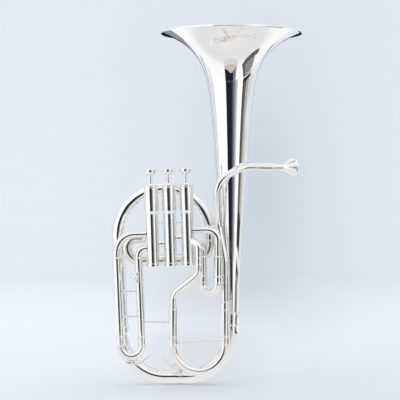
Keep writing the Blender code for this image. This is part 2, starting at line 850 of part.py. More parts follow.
def make_mouthpiece(parent):
    """Tapered shank, funnel-shaped body with a cup, and a rounded rim."""
    cup_start = SHANK_DEPTH + SHANK_OPEN_LENGTH
    rim_start = cup_start + CUP_LENGTH
    top = rim_start + CUP_RIM_HEIGHT
    outside = [(SHANK_END_RADIUS, 0), (SHANK_RADIUS, SHANK_DEPTH), (SHANK_RADIUS, cup_start)]
    for index in range(1, 4):
        share = index / 3
        outside.append((cup_outside(share), cup_start + CUP_LENGTH * share))
    lip = [
        (CUP_RIM_RADIUS, rim_start + CUP_RIM_HEIGHT * 0.6),
        (CUP_RIM_RADIUS - 0.0010, top - 0.0004),
        (CUP_RIM_RADIUS - 0.0024, top),
        (CUP_BORE_RADIUS, top - 0.0009),
    ]
    inside = []
    for index in range(1, 5):
        share = index / 4
        swell = (CUP_BORE_RADIUS - MOUTHPIECE_THROAT_RADIUS) * (1 - share**1.6)
        inside.append((MOUTHPIECE_THROAT_RADIUS + swell, top - 0.0009 - CUP_DEPTH * share))
    inside.append((SHANK_END_RADIUS - WALL, 0))
    matrix = Matrix.Identity(4)
    profile = outside + lip + inside
    return turned("mouthpiece", profile, matrix, sides=CASING_SIDES, closed=True, parent=parent)


# Bend from the first valve and tuning slide
def make_s_bend(copes):
    first = port_reach(1, FIRST_IN, S_BEND_X)
    centre, _ = port_axis(1, FIRST_IN)
    corners = [
        centre,
        first,
        Vector((first.x, first.y + S_BEND_Y_STEP, S_BEND_UPPER_Z)),
        main_left(S_BEND_LOWER_Z),
        main_left(MAIN_LEFT_SLEEVE_TOP_Z - SOCKET_DEPTH / 2),
    ]
    route = bent(corners, [S_BEND_PORT_BEND, S_BEND_RADIUS, S_BEND_RADIUS])
    along = distances(route)
    bands = []
    for z in S_BEND_FERRULE_Z:
        below = next(index for index, (point, _) in enumerate(route) if point.z < z)
        share = (route[below - 1][0].z - z) / (route[below - 1][0].z - route[below][0].z)
        mark = along[below - 1] + share * (along[below] - along[below - 1])
        bands.append((mark - RING_WIDTH / 2, mark + RING_WIDTH / 2, TUBE_RADIUS + RING_RISE))
    outer = with_steps(route, TUBE_RADIUS, bands)
    obj = tube("s_bend", route, outer, plain(route, TUBE_RADIUS - WALL))
    combine(obj, copes[1], "DIFFERENCE")
    return obj


def make_main_sleeves():
    bore_radius, outer_radius = leg_sleeve(MAIN_LEG_RADIUS)
    raised = outer_radius + RING_RISE
    for name, place, top in (
        ("main_sleeve_left", main_left, MAIN_LEFT_SLEEVE_TOP_Z),
        ("main_sleeve_right", main_right, MAIN_RIGHT_SLEEVE_TOP_Z),
    ):
        route = bent([place(top), place(MAIN_SLEEVE_END_Z)], [])
        length = distances(route)[-1]
        ring_start = top - MAIN_RIGHT_FERRULE_Z if place is main_right else 0.003
        bands = [
            (ring_start, ring_start + RING_WIDTH, raised),
            (length - RING_WIDTH, length, raised),
        ]
        if place is main_right:
            bands.append((0.0, RING_WIDTH, raised))
        outer = with_steps(route, outer_radius, bands)
        tube(name, route, outer, plain(route, bore_radius), TUBE_SIDES, TUBE_SIDES)


def main_spacing():
    return (main_right(0) - main_left(0)).length


def make_main_slide(parent):
    """Legs, ferrules and the wide bow. Its frame is the top of the left leg."""
    high = MAIN_SLEEVE_END_Z + MAIN_LEG_LENGTH
    bend = main_spacing() / 2
    low = MAIN_SLEEVE_END_Z - GAP - FERRULE_LENGTH - bend
    corners = [main_left(high), main_left(low), main_right(low), main_right(high)]
    local = [corner - parent.matrix_world.translation for corner in corners]
    leg = MAIN_LEG_LENGTH + GAP
    return make_slide("main_slide", local, bend, MAIN_LEG_RADIUS, leg, FERRULE_LENGTH, parent)


def make_main_brace(parent):
    """The rod between the tuning slide's legs, with a small knob at its middle."""
    origin = parent.matrix_world.translation
    ferrule = leg_sleeve(MAIN_LEG_RADIUS)[1] + RING_RISE / 2
    start = main_left(MAIN_BRACE_LEFT_Z) - origin
    end = main_right(MAIN_BRACE_RIGHT_Z) - origin
    direction = (end - start).normalized()
    base = start + direction * (ferrule + GAP)
    length = (end - start).length - 2 * ferrule - 2 * GAP
    middle = length / 2
    profile = [
        (0, 0),
        (FOOT_RADIUS, 0),
        (FOOT_RADIUS, FOOT_HEIGHT / 4),
        (ROD_RADIUS, FOOT_HEIGHT),
        (ROD_RADIUS, middle - MAIN_KNOB_RADIUS),
        (MAIN_KNOB_RADIUS, middle - MAIN_KNOB_RADIUS / 2),
        (MAIN_KNOB_RADIUS, middle + MAIN_KNOB_RADIUS / 2),
        (ROD_RADIUS, middle + MAIN_KNOB_RADIUS),
        (ROD_RADIUS, length - FOOT_HEIGHT),
        (FOOT_RADIUS, length - FOOT_HEIGHT / 4),
        (FOOT_RADIUS, length),
        (0, length),
    ]
    matrix = facing(base, direction)
    return turned("main_slide_brace", profile, matrix, sides=SMALL_SIDES, parent=parent)


# Third valve slide
def third_x(x, z):
    return x + (THIRD_LEG_Z - z) * math.tan(THIRD_LEAN)


def third_corner(port, x):
    """Where the port's line meets the leaning line of a leg."""
    centre, direction = port_axis(3, port)
    slope = math.tan(THIRD_LEAN)
    reach = (BELL_X + third_x(x, centre.z) - centre.x) / (direction.x + direction.z * slope)
    return centre, centre + direction * reach


def third_leg_point(x, y, z):
    return at(third_x(x, z), y, z)


def make_third_tubes(copes):
    for name, port, x, bend in (
        ("third_tube_outer", THIRD_SLIDE_UPPER, THIRD_OUTER_X, THIRD_OUTER_BEND),
        ("third_tube_inner", THIRD_SLIDE_LOWER, THIRD_INNER_X, THIRD_INNER_BEND),
    ):
        centre, corner = third_corner(port, x)
        end = third_leg_point(x, corner.y, THIRD_SLEEVE_END_Z)
        route = bent([centre, corner, end], [bend])
        sleeve = (THIRD_SLEEVE_TOP_Z - THIRD_SLEEVE_END_Z) / math.cos(THIRD_LEAN)
        sleeve_tube(name, route, sleeve, THIRD_LEG_RADIUS, copes[3])


def third_spacing():
    return (THIRD_INNER_X - THIRD_OUTER_X) * math.cos(THIRD_LEAN)


def third_frame():
    """The third slide's frame: the middle between its legs at the sleeves' ends, Z up the legs."""
    _, corner = third_corner(THIRD_SLIDE_LOWER, THIRD_INNER_X)
    middle = (THIRD_OUTER_X + THIRD_INNER_X) / 2
    point = third_leg_point(middle, corner.y, THIRD_SLEEVE_END_Z)
    return Matrix.Translation(point) @ Matrix.Rotation(-THIRD_LEAN, 4, "Y")


def make_third_slide(parent):
    half = third_spacing() / 2
    slant = half * math.tan(THIRD_LEAN)
    low = -GAP - FERRULE_LENGTH - half - slant
    high = THIRD_LEG_LENGTH
    corners = [(-half, 0, high), (-half, 0, low), (half, 0, low), (half, 0, high)]
    leg = THIRD_LEG_LENGTH + GAP + slant
    return make_slide("third_slide", corners, half, THIRD_LEG_RADIUS, leg, FERRULE_LENGTH, parent)


# First valve slide
def first_front_corner():
    return port_reach(1, FIRST_SLIDE_FRONT, FIRST_FRONT_X)


def first_rear_corner():
    return port_reach(1, FIRST_SLIDE_REAR, FIRST_REAR_X)


def make_first_tubes(copes):
    for name, port, corner, bend in (
        ("first_tube_front", FIRST_SLIDE_FRONT, first_front_corner(), FIRST_FRONT_BEND),
        ("first_tube_rear", FIRST_SLIDE_REAR, first_rear_corner(), FIRST_REAR_BEND),
    ):
        centre, _ = port_axis(1, port)
        end = Vector((corner.x, corner.y, FIRST_SLEEVE_END_Z))
        route = bent([centre, corner, end], [bend])
        sleeve_tube(name, route, FIRST_SLEEVE_TOP_Z - FIRST_SLEEVE_END_Z, VALVE_LEG_RADIUS, copes[1])


def first_middle():
    middle = (first_front_corner() + first_rear_corner()) / 2
    return Vector((middle.x, middle.y, FIRST_SLEEVE_END_Z))


def make_first_slide(parent):
    across = first_front_corner() - first_rear_corner()
    half = Vector((across.x, across.y, 0)) / 2
    bend = half.length
    low = UPWARDS * (-GAP - SHORT_FERRULE_LENGTH - bend)
    high = UPWARDS * FIRST_LEG_LENGTH
    corners = [high - half, low - half, low + half, high + half]
    leg = FIRST_LEG_LENGTH + GAP
    ferrule = SHORT_FERRULE_LENGTH
    return make_slide("first_slide", corners, bend, VALVE_LEG_RADIUS, leg, ferrule, parent)


# Second valve slide
def make_second_tubes(copes, block):
    sleeve = SECOND_SLEEVE_END_Y - SECOND_SLEEVE_START_Y
    for name, port in (
        ("second_tube_upper", SECOND_SLIDE_UPPER),
        ("second_tube_lower", SECOND_SLIDE_LOWER),
    ):
        height = port[0]
        route = bent([(0, 0, height), (0, SECOND_SLEEVE_END_Y, height)], [])
        sleeve_tube(name, route, sleeve, VALVE_LEG_RADIUS, copes[2], Vector((1, 0, 0)), block)


def make_second_slide(parent):
    half = (SECOND_SLIDE_UPPER[0] - SECOND_SLIDE_LOWER[0]) / 2
    far = GAP + SHORT_FERRULE_LENGTH + half
    near = -SECOND_LEG_LENGTH
    corners = [(0, near, half), (0, far, half), (0, far, -half), (0, near, -half)]
    leg = SECOND_LEG_LENGTH + GAP
    ferrule = SHORT_FERRULE_LENGTH
    across = Vector((1, 0, 0))
    return make_slide("second_slide", corners, half, VALVE_LEG_RADIUS, leg, ferrule, parent, across)


# Valves
VALVE_PORTS = {
    1: (FIRST_IN, FIRST_OUT, FIRST_SLIDE_FRONT, FIRST_SLIDE_REAR),
    2: (SECOND_IN, SECOND_OUT, SECOND_SLIDE_UPPER, SECOND_SLIDE_LOWER),
    3: (THIRD_IN, THIRD_OUT, THIRD_SLIDE_UPPER, THIRD_SLIDE_LOWER),
}
# For each valve, the open way at rest and the two ways when it is pressed, and how far each bows
# aside, so that no way meets another inside the piston
REST_WAYS = {
    1: (FIRST_IN, FIRST_OUT, (0.0, 0.0, -0.0015)),
    2: (SECOND_IN, SECOND_OUT, (0.0, -0.0040, -0.0020)),
    3: (THIRD_IN, THIRD_OUT, (0.0010, 0.0010, -0.0040)),
}
PRESSED_WAYS = {
    1: (
        (FIRST_IN, FIRST_SLIDE_REAR, (0.0, 0.0, 0.0015)),
        (FIRST_SLIDE_FRONT, FIRST_OUT, (0.0, 0.0, 0.0015)),
    ),
    2: (
        (SECOND_IN, SECOND_SLIDE_UPPER, (0.0, 0.0, 0.0)),
        (SECOND_SLIDE_LOWER, SECOND_OUT, (0.0, 0.0020, 0.0010)),
    ),
    3: (
        (THIRD_IN, THIRD_SLIDE_LOWER, (0.0, -0.0040, 0.0040)),
        (THIRD_SLIDE_UPPER, THIRD_OUT, (0.0, 0.0, 0.0)),
    ),
}


def radial(port, distance, rise=0.0):
    """A point at this distance from a valve's axis, along one of its ports."""
    height, azimuth = port
    return Vector((distance * math.cos(azimuth), distance * math.sin(azimuth), height + rise))


def port_cutter(valve, block):
    """The holes through a casing's wall, one for each port."""
    bm = bmesh.new()
    for port in VALVE_PORTS[valve]:
        start = radial(port, CASING_BORE - GAP * 2)
        direction = radial(port, 1.0) - radial(port, 0.0)
        drill = bmesh.ops.create_cone(
            bm,
            cap_ends=True,
            segments=TUBE_SIDES,
            radius1=PORT_RADIUS,
            radius2=PORT_RADIUS,
            depth=PORT_DRILL_LENGTH,
        )
        matrix = facing(start + direction * PORT_DRILL_LENGTH / 2, direction)
        bmesh.ops.transform(bm, matrix=matrix, verts=drill["verts"])
    matrix = Matrix.Translation((VALVE_OFFSETS[valve], 0, 0))
    return as_cutter(new_object(f"port_drill_{valve}", bm, SILVER, matrix, block))


def casing_profile():
    foot = BOTTOM_CAP_FLOOR + GAP
    ring_half = 0.0009
    return [
        (CASING_BORE, foot),
        (CASING_RADIUS, foot),
        (CASING_RADIUS, CASING_RING_Z - ring_half),
        (CASING_RING_RADIUS, CASING_RING_Z - ring_half),
        (CASING_RING_RADIUS, CASING_RING_Z + ring_half),
        (CASING_UPPER_RADIUS, CASING_RING_Z + 2 * ring_half),
        (CASING_UPPER_RADIUS, CASING_TOP_Z),
        (CASING_BORE, CASING_TOP_Z),
    ]


def make_casing(valve, block):
    matrix = Matrix.Translation((VALVE_OFFSETS[valve], 0, 0))
    casing = turned(f"valve_casing_{valve}", casing_profile(), matrix, closed=True, parent=block)
    combine(casing, port_cutter(valve, block), "DIFFERENCE")
    return casing


def make_caps(valve, block):
    matrix = Matrix.Translation((VALVE_OFFSETS[valve], 0, 0))
    inner = CASING_RADIUS + GAP
    bottom = [
        (0, 0),
        (BOTTOM_CAP_RADIUS - 0.0016, 0),
        (BOTTOM_CAP_RADIUS, 0.0012),
        (BOTTOM_CAP_RADIUS, BOTTOM_CAP_HEIGHT),
        (inner, BOTTOM_CAP_HEIGHT),
        (inner, BOTTOM_CAP_FLOOR),
        (0, BOTTOM_CAP_FLOOR),
    ]
    turned(f"bottom_cap_{valve}", bottom, matrix, sides=CAP_SIDES, parent=block)
    low = CASING_TOP_Z + GAP
    high = low + TOP_CAP_HEIGHT
    hole = STEM_RADIUS + RUN_GAP
    plug = CASING_BORE - GAP * 1.3
    top = [
        (hole, low - TOP_CAP_PLUG),
        (plug, low - TOP_CAP_PLUG),
        (plug, low),
        (CASING_UPPER_RADIUS, low),
        (CASING_UPPER_RADIUS, high - 0.0010),
        (CASING_UPPER_RADIUS - 0.0012, high),
        (CAP_COLLAR_RADIUS, high),
        (CAP_COLLAR_RADIUS, high + CAP_COLLAR_HEIGHT),
        (hole, high + CAP_COLLAR_HEIGHT),
    ]
    turned(f"top_cap_{valve}", top, matrix, sides=CAP_SIDES, closed=True, parent=block)


def way_route(start, end, bow, rise):
    """A smooth passage between two ports, drawn inwards at both mouths and bowed aside.

    The closer two ports stand to each other, the deeper it goes, so that its middle passes the
    piston's axis at no more than the passage's offset.
    """
    reach = PISTON_RADIUS + 0.0012
    spread = math.cos((end[1] - start[1]) / 2)
    depth = PISTON_RADIUS * 0.35
    if abs(spread) > 0.1:
        depth = min(depth, (PASSAGE_OFFSET / abs(spread) - reach / 4) * 4 / 3)
    first = radial(start, reach, rise)
    last = radial(end, reach, rise)
    first_handle = radial(start, depth, rise) + Vector(bow)
    last_handle = radial(end, depth, rise) + Vector(bow)
    route = []
    steps = 6
    for index in range(steps + 1):
        t = index / steps
        s = 1 - t
        point = first * s**3 + last * t**3
        point += first_handle * (3 * s * s * t) + last_handle * (3 * s * t * t)
        tangent = (first_handle - first) * s * s + (last - last_handle) * t * t
        tangent += (last_handle - first_handle) * (2 * s * t)
        route.append((point, tangent.normalized()))
    return route


def make_piston(valve, parent):
    """A piston with its three ways: one in line at rest, two that meet the ports when pressed."""
    low = PISTON_BOTTOM_Z - PISTON_TOP_Z
    edge = 0.0006
    profile = [
        (0, low),
        (PISTON_RADIUS, low),
        (PISTON_RADIUS, -edge),
        (PISTON_RADIUS - edge, 0),
        (0, 0),
    ]
    piston = turned(f"piston_{valve}", profile, Matrix.Identity(4), PISTON_METAL, parent=parent)
    ways = [(*REST_WAYS[valve], 0.0)]
    ways += [(*way, VALVE_STROKE) for way in PRESSED_WAYS[valve]]
    for number, (start, end, bow, rise) in enumerate(ways, 1):
        drop = UPWARDS * PISTON_TOP_Z
        route = [(point - drop, tangent) for point, tangent in way_route(start, end, bow, rise)]
        profile = plain(route, PASSAGE_RADIUS)
        cutter = rod(f"way_{valve}_{number}", route, profile, parent=parent, across=UPWARDS)
        combine(piston, as_cutter(cutter), "DIFFERENCE")
    return piston


def button_foot_z():
    """Height of a button's underside: the stroke above the cap's collar."""
    return CASING_TOP_Z + GAP + TOP_CAP_HEIGHT + CAP_COLLAR_HEIGHT + GAP + VALVE_STROKE


def make_button(valve, parent):
    """Finger button with its stem and the stop collar under the cap."""
    foot = button_foot_z() - PISTON_TOP_Z
    stop_top = CASING_TOP_Z - TOP_CAP_PLUG - PISTON_TOP_Z
    top = foot + BUTTON_HEIGHT
    profile = [
        (0, GAP),
        (STEM_RADIUS, GAP),
        (STEM_RADIUS, stop_top - STOP_HEIGHT),
        (STOP_RADIUS, stop_top - STOP_HEIGHT),
        (STOP_RADIUS, stop_top),
        (STEM_RADIUS, stop_top),
        (STEM_RADIUS, foot),
        (BUTTON_RADIUS * 0.72, foot),
        (BUTTON_RADIUS, foot + BUTTON_HEIGHT * 0.45),
        (BUTTON_RADIUS, foot + BUTTON_HEIGHT * 0.80),
        (BUTTON_RADIUS * 0.85, top),
        (0, top),
    ]
    matrix = Matrix.Identity(4)
    return turned(f"finger_button_{valve}", profile, matrix, BUTTON_SILVER, BUTTON_SIDES, parent=parent)


def make_spring(valve, block):
    """The coil spring between the bottom cap and the piston, one unbroken wire."""
    low = BOTTOM_CAP_FLOOR + GAP + SPRING_WIRE
    high = PISTON_BOTTOM_Z - GAP - SPRING_WIRE
    points_per_curl = 6
    count = SPRING_CURLS * points_per_curl
    curve = bpy.data.curves.new(f"valve_spring_{valve}", "CURVE")
    curve.dimensions = "3D"
    curve.bevel_depth = SPRING_WIRE
    curve.bevel_resolution = 0
    curve.use_fill_caps = True
    spline = curve.splines.new("POLY")
    spline.points.add(count)
    for index in range(count + 1):
        turn = 2 * math.pi * index / points_per_curl
        height = low + (high - low) * index / count
        x = SPRING_RADIUS * math.cos(turn)
        y = SPRING_RADIUS * math.sin(turn)
        spline.points[index].co = (x, y, height, 1)
    curve.materials.append(finish_material(f"valve_spring_{valve}_finish", SPRING_STEEL))
    obj = bpy.data.objects.new(f"valve_spring_{valve}", curve)
    bpy.context.scene.collection.objects.link(obj)
    obj.parent = block
    obj.location = (VALVE_OFFSETS[valve], 0, 0)
    return obj


def make_knuckles(copes, block):
    """The short tubes between neighbouring casings, shaped to both of them."""
    for name, right, left, height in (
        ("knuckle_1_2", 1, 2, FIRST_OUT[0]),
        ("knuckle_2_3", 2, 3, SECOND_OUT[0]),
    ):
        start = Vector((VALVE_OFFSETS[right], 0, height))
        end = Vector((VALVE_OFFSETS[left], 0, height))
        route = bent([start, end], [])
        outer = plain(route, TUBE_RADIUS)
        knuckle = tube(name, route, outer, plain(route, TUBE_RADIUS - WALL), parent=block)
        combine(knuckle, copes[right], "DIFFERENCE")
        combine(knuckle, copes[left], "DIFFERENCE")


def make_casing_braces(block):
    for right, left in ((1, 2), (2, 3)):
        for number, height in enumerate(CASING_BRACE_HEIGHTS, 1):
            start = Vector((VALVE_OFFSETS[right], 0, height))
            end = Vector((VALVE_OFFSETS[left], 0, height))
            name = f"casing_brace_{right}_{left}_{number}"
            strut(name, start, CASING_RADIUS, end, CASING_RADIUS, parent=block)


def make_valves(copes, block):
    for valve, offset in VALVE_OFFSETS.items():
        make_casing(valve, block)
        make_caps(valve, block)
        mover = new_empty(f"valve_{valve}_axis", Matrix.Translation((offset, 0, PISTON_TOP_Z)), block)
        make_piston(valve, mover)
        make_button(valve, mover)
        make_spring(valve, block)
    make_knuckles(copes, block)
    make_casing_braces(block)


# Braces between tubes
def make_third_braces():
    _, corner = third_corner(THIRD_SLIDE_LOWER, THIRD_INNER_X)
    radius = leg_sleeve(THIRD_LEG_RADIUS)[1]
    for number, z in enumerate(THIRD_BRACE_HEIGHTS, 1):
        start = third_leg_point(THIRD_OUTER_X, corner.y, z)
        end = start + Vector((math.cos(THIRD_LEAN), 0, math.sin(THIRD_LEAN))) * third_spacing()
        strut(f"third_slide_brace_{number}", start, radius, end, radius)


def make_lower_rod():
    """The rod from the third slide's inner sleeve to the tuning slide's left sleeve."""
    _, corner = third_corner(THIRD_SLIDE_LOWER, THIRD_INNER_X)
    start = third_leg_point(THIRD_INNER_X, corner.y, LOWER_ROD_Z)
    end = main_left(LOWER_ROD_Z)
    strut("lower_brace", start, leg_sleeve(THIRD_LEG_RADIUS)[1], end, leg_sleeve(MAIN_LEG_RADIUS)[1])


def leadpipe_at(z):
    """Centre and radius of the falling leadpipe at a height."""
    route = leadpipe_route()
    along = distances(route)
    for index in range(len(route) - 1, 0, -1):
        high, low = route[index - 1][0], route[index][0]
        if high.z >= z >= low.z:
            break
    share = (high.z - z) / (high.z - low.z)
    mark = along[index - 1] + share * (along[index] - along[index - 1])
    radius = LEADPIPE_START_RADIUS + (LEADPIPE_END_RADIUS - LEADPIPE_START_RADIUS) * mark / along[-1]
    return high.lerp(low, share), radius


def make_leadpipe_braces():
    pipe, radius = leadpipe_at(BELL_BRACE_Z)
    stem = bell_radius(BELL_BRACE_Z + FOOT_RADIUS)
    strut("bell_brace", at(0, 0, BELL_BRACE_Z), stem, pipe, radius, BELL_BRACE_RADIUS)
    pipe, radius = leadpipe_at(LEADPIPE_BRACE_Z)
    branch = at(ARC_RIGHT_X, ARC_Y, LEADPIPE_BRACE_Z)
    strut("leadpipe_brace", branch, ARC_START_RADIUS, pipe, radius)


# Water keys
def on_bow(radius, angle):
    """A point over a bow's outer side: X across the legs, Z up them."""
    return Vector((math.cos(angle), 0, math.sin(angle))) * radius


def stud(name, target, start, end, radius, parent, sides=6):
    """Joins a short bar between two points to a piece."""
    combine(target, cylinder(name, start, end, radius, parent, sides), "UNION")


def make_key_saddle(name, bow, surface, hinge_angle, cup_angle):
    """Fixed part on the bow: a spine, two ears with the hinge pin, and the nipple of the drain."""
    height = GAP + KEY_SPINE_RADIUS * 1.3
    foot = on_bow(surface + height, hinge_angle)
    middle = on_bow(surface + height, (hinge_angle + cup_angle) / 2)
    end = on_bow(surface + height, cup_angle)
    outwards = on_bow(1, hinge_angle)
    hinge = on_bow(surface + KEY_HINGE_HEIGHT, hinge_angle)
    backwards = (foot - middle).normalized() * KEY_SPINE_RADIUS * 2
    route = bent([foot + backwards, middle, end], [surface])
    saddle = rod(f"{name}_saddle", route, plain(route, KEY_SPINE_RADIUS), parent=bow, sides=6)
    reach = SIDEWAYS * (KEY_BARREL_LENGTH / 2 + GAP + KEY_EAR_RADIUS)
    wide = reach * 1.25
    stud(f"{name}_bridge", saddle, foot - reach, foot + reach, KEY_SPINE_RADIUS * 0.9, bow)
    for number, side in enumerate((reach, -reach)):
        top = hinge + outwards * KEY_PIN_RADIUS + side
        stud(f"{name}_ear_{number}", saddle, foot + side, top, KEY_EAR_RADIUS, bow)
    stud(f"{name}_pin", saddle, hinge - wide, hinge + wide, KEY_PIN_RADIUS, bow, 8)
    low = on_bow(surface + GAP, cup_angle)
    high = on_bow(surface + KEY_NIPPLE_HEIGHT, cup_angle)
    stud(f"{name}_nipple", saddle, low, high, KEY_NIPPLE_RADIUS, bow, 8)
    return saddle


def make_key_lever(name, hinge, cup_point, cup_outwards, tangent, outwards, tip_rise):
    """Moving part about the hinge: a barrel, the arm over it, the cup and the touch piece."""
    barrel = [
        (KEY_PIN_RADIUS + GAP, -KEY_BARREL_LENGTH / 2),
        (KEY_BARREL_RADIUS, -KEY_BARREL_LENGTH / 2),
        (KEY_BARREL_RADIUS, KEY_BARREL_LENGTH / 2),
        (KEY_PIN_RADIUS + GAP, KEY_BARREL_LENGTH / 2),
    ]
    matrix = facing(Vector(), SIDEWAYS)
    lever = turned(f"{name}_lever", barrel, matrix, sides=8, closed=True, parent=hinge)
    over = outwards * (KEY_BARREL_RADIUS + KEY_ROD_RADIUS * 0.5)
    tip = tangent * -KEY_TIP_LENGTH + outwards * tip_rise
    top = cup_point + cup_outwards * KEY_CUP_THICKNESS
    corners = [top, over + tangent * 0.0012, over - tangent * 0.0020, tip]
    arm = bent(corners, [0.004, 0.004])
    arm_rod = rod(f"{name}_arm", arm, plain(arm, KEY_ROD_RADIUS), parent=hinge, sides=6)
    combine(lever, as_cutter(arm_rod), "UNION")
    stud(f"{name}_cup", lever, cup_point, top, KEY_CUP_RADIUS, hinge, 10)
    half = outwards * 0.0009
    stud(f"{name}_touch", lever, tip - half, tip + half, KEY_TIP_RADIUS, hinge, 8)
    return lever


def make_water_key(name, bow, tube_radius, bend_radius, hinge_angle, cup_angle, tip_rise):
    """A sprung key that shuts the drain in a bow. bow is an empty at the bow's centre."""
    surface = bend_radius + tube_radius
    outwards = on_bow(1, hinge_angle)
    turn = 1 if cup_angle > hinge_angle else -1
    tangent = Vector((-outwards.z, 0, outwards.x)) * turn
    hinge_point = on_bow(surface + KEY_HINGE_HEIGHT, hinge_angle)
    hinge = new_empty(f"{name}_hinge", Matrix.Translation(hinge_point), bow)
    make_key_saddle(name, bow, surface, hinge_angle, cup_angle)
    cup_point = on_bow(surface + KEY_NIPPLE_HEIGHT + GAP, cup_angle) - hinge_point
    make_key_lever(name, hinge, cup_point, on_bow(1, cup_angle), tangent, outwards, tip_rise)


# Lyre socket
def make_lyre():
    """A socket with a ball-headed thumb screw on the third slide's inner sleeve."""
    _, corner = third_corner(THIRD_SLIDE_LOWER, THIRD_INNER_X)
    sleeve = third_leg_point(THIRD_INNER_X, corner.y, LYRE_Z)
    outwards = Vector((math.cos(LYRE_AZIMUTH), math.sin(LYRE_AZIMUTH), 0))
    raised = leg_sleeve(THIRD_LEG_RADIUS)[1]
    slack = LYRE_SOCKET_HEIGHT / 2 * math.tan(THIRD_LEAN)
    centre = sleeve + outwards * (raised + GAP + slack + LYRE_SOCKET_RADIUS)
    low = -LYRE_SOCKET_HEIGHT / 2
    high = LYRE_SOCKET_HEIGHT / 2
    collar = LYRE_SOCKET_RADIUS + 0.0006
    profile = [
        (LYRE_SOCKET_BORE, low),
        (LYRE_SOCKET_RADIUS, low),
        (LYRE_SOCKET_RADIUS, high - 0.0045),
        (LYRE_SOCKET_RADIUS, high),
        (LYRE_SOCKET_BORE, high),
    ]
    socket = turned("lyre_socket", profile, Matrix.Translation(centre), sides=12, closed=True)
    end = centre + outwards * (LYRE_SOCKET_RADIUS + 0.002)
    combine(socket, cylinder("lyre_drill", centre, end, LYRE_SCREW_RADIUS + GAP, sides=8), "DIFFERENCE")
    neck = LYRE_SOCKET_RADIUS + GAP
    ball = LYRE_BALL_RADIUS
    tip = LYRE_SOCKET_BORE * 0.4
    screw = [
        (0, tip),
        (LYRE_SCREW_RADIUS, tip),
        (LYRE_SCREW_RADIUS, neck),
        (collar * 0.7, neck),
        (collar * 0.7, neck + 0.0012),
    ]
    for index in range(6):
        angle = math.radians(-58 + 148 * index / 5)
        screw.append((ball * math.cos(angle), neck + 0.0010 + ball * 0.86 + ball * math.sin(angle)))
    screw[-1] = (0, screw[-1][1])
    mover = new_empty("lyre_screw_axis", facing(centre, outwards))
    turned("lyre_screw", screw, Matrix.Identity(4), sides=12, parent=mover)


def build():
    clear_scene()
    block = new_empty("valve_block", BLOCK)
    make_bell()
    make_bell_ferrule()
    make_top_branch()
    make_left_branch()
    make_bottom_bow()
    copes = make_cope_cutters(block)
    make_valves(copes, block)
    make_rear_branch(copes)
    make_leadpipe()
    make_receiver()
    make_s_bend(copes)
    make_main_sleeves()
    make_third_tubes(copes)
    make_first_tubes(copes)
    make_second_tubes(copes, block)
    make_third_braces()
    make_lower_rod()
    make_leadpipe_braces()
    make_lyre()

    shank_end = receiver_point(RECEIVER_START + RECEIVER_LENGTH - SHANK_DEPTH)
    make_mouthpiece(new_empty("mouthpiece_axis", facing(shank_end, receiver_direction())))

    main = new_empty("main_slide_axis", Matrix.Translation(main_left(MAIN_SLEEVE_END_Z)))
    third = new_empty("third_slide_axis", third_frame())
    first = new_empty("first_slide_axis", Matrix.Translation(first_middle()))
    middle = (SECOND_SLIDE_UPPER[0] + SECOND_SLIDE_LOWER[0]) / 2
    second = new_empty("second_slide_axis", Matrix.Translation((0, SECOND_SLEEVE_END_Y, middle)), block)
    bpy.context.view_layer.update()
    make_main_slide(main)
    make_main_brace(main)
    make_third_slide(third)
    make_first_slide(first)
    make_second_slide(second)
    make_water_keys(main, third)


def make_water_keys(main, third):
    across = main_right(0) - main_left(0)
    bend = across.length / 2
    drop = -GAP - FERRULE_LENGTH
    turn = Matrix.Rotation(math.atan2(across.y, across.x), 4, "Z")
    centre = Matrix.Translation(across / 2 + UPWARDS * drop)
    main_bow = new_empty("main_bow_centre", centre @ turn, main)
    radius = leg_sleeve(MAIN_LEG_RADIUS)[1] - RING_RISE / 2
    angles = (MAIN_KEY_HINGE_ANGLE, MAIN_KEY_CUP_ANGLE)
    make_water_key("main_key", main_bow, radius, bend, *angles, MAIN_KEY_TIP_RISE)
    half = third_spacing() / 2
    drop = -GAP - FERRULE_LENGTH - half * math.tan(THIRD_LEAN)
    third_bow = new_empty("third_bow_centre", Matrix.Translation((0, 0, drop)), third)
    radius = leg_sleeve(THIRD_LEG_RADIUS)[1] - RING_RISE / 2
    angles = (THIRD_KEY_HINGE_ANGLE, THIRD_KEY_CUP_ANGLE)
    make_water_key("third_key", third_bow, radius, half, *angles, THIRD_KEY_TIP_RISE)


build()
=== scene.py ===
"""Looks for the alto horn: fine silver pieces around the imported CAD, a pale studio and camera.

Metres, +Z up. A fine piece takes the place of the CAD node that it is named after, at that node's sizes.
"""
from math import atan2, ceil, cos, exp, hypot, pi, radians, sin, tan

import bmesh
import bpy
from mathutils import Matrix, Vector


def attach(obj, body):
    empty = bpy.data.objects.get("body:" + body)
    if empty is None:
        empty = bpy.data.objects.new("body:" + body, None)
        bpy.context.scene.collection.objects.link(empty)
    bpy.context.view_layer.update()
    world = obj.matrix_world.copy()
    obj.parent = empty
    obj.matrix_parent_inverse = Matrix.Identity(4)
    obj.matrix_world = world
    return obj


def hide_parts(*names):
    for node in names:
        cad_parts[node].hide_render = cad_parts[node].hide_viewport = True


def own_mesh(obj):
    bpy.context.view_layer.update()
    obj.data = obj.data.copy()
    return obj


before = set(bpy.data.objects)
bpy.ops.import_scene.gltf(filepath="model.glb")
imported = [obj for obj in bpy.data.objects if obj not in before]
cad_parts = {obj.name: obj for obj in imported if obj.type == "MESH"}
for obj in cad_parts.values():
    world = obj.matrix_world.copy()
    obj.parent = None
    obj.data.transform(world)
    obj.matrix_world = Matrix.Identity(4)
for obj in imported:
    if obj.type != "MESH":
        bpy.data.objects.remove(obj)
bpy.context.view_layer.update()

SIDEWAYS = Vector((0, 1, 0))
UPWARDS = Vector((0, 0, 1))

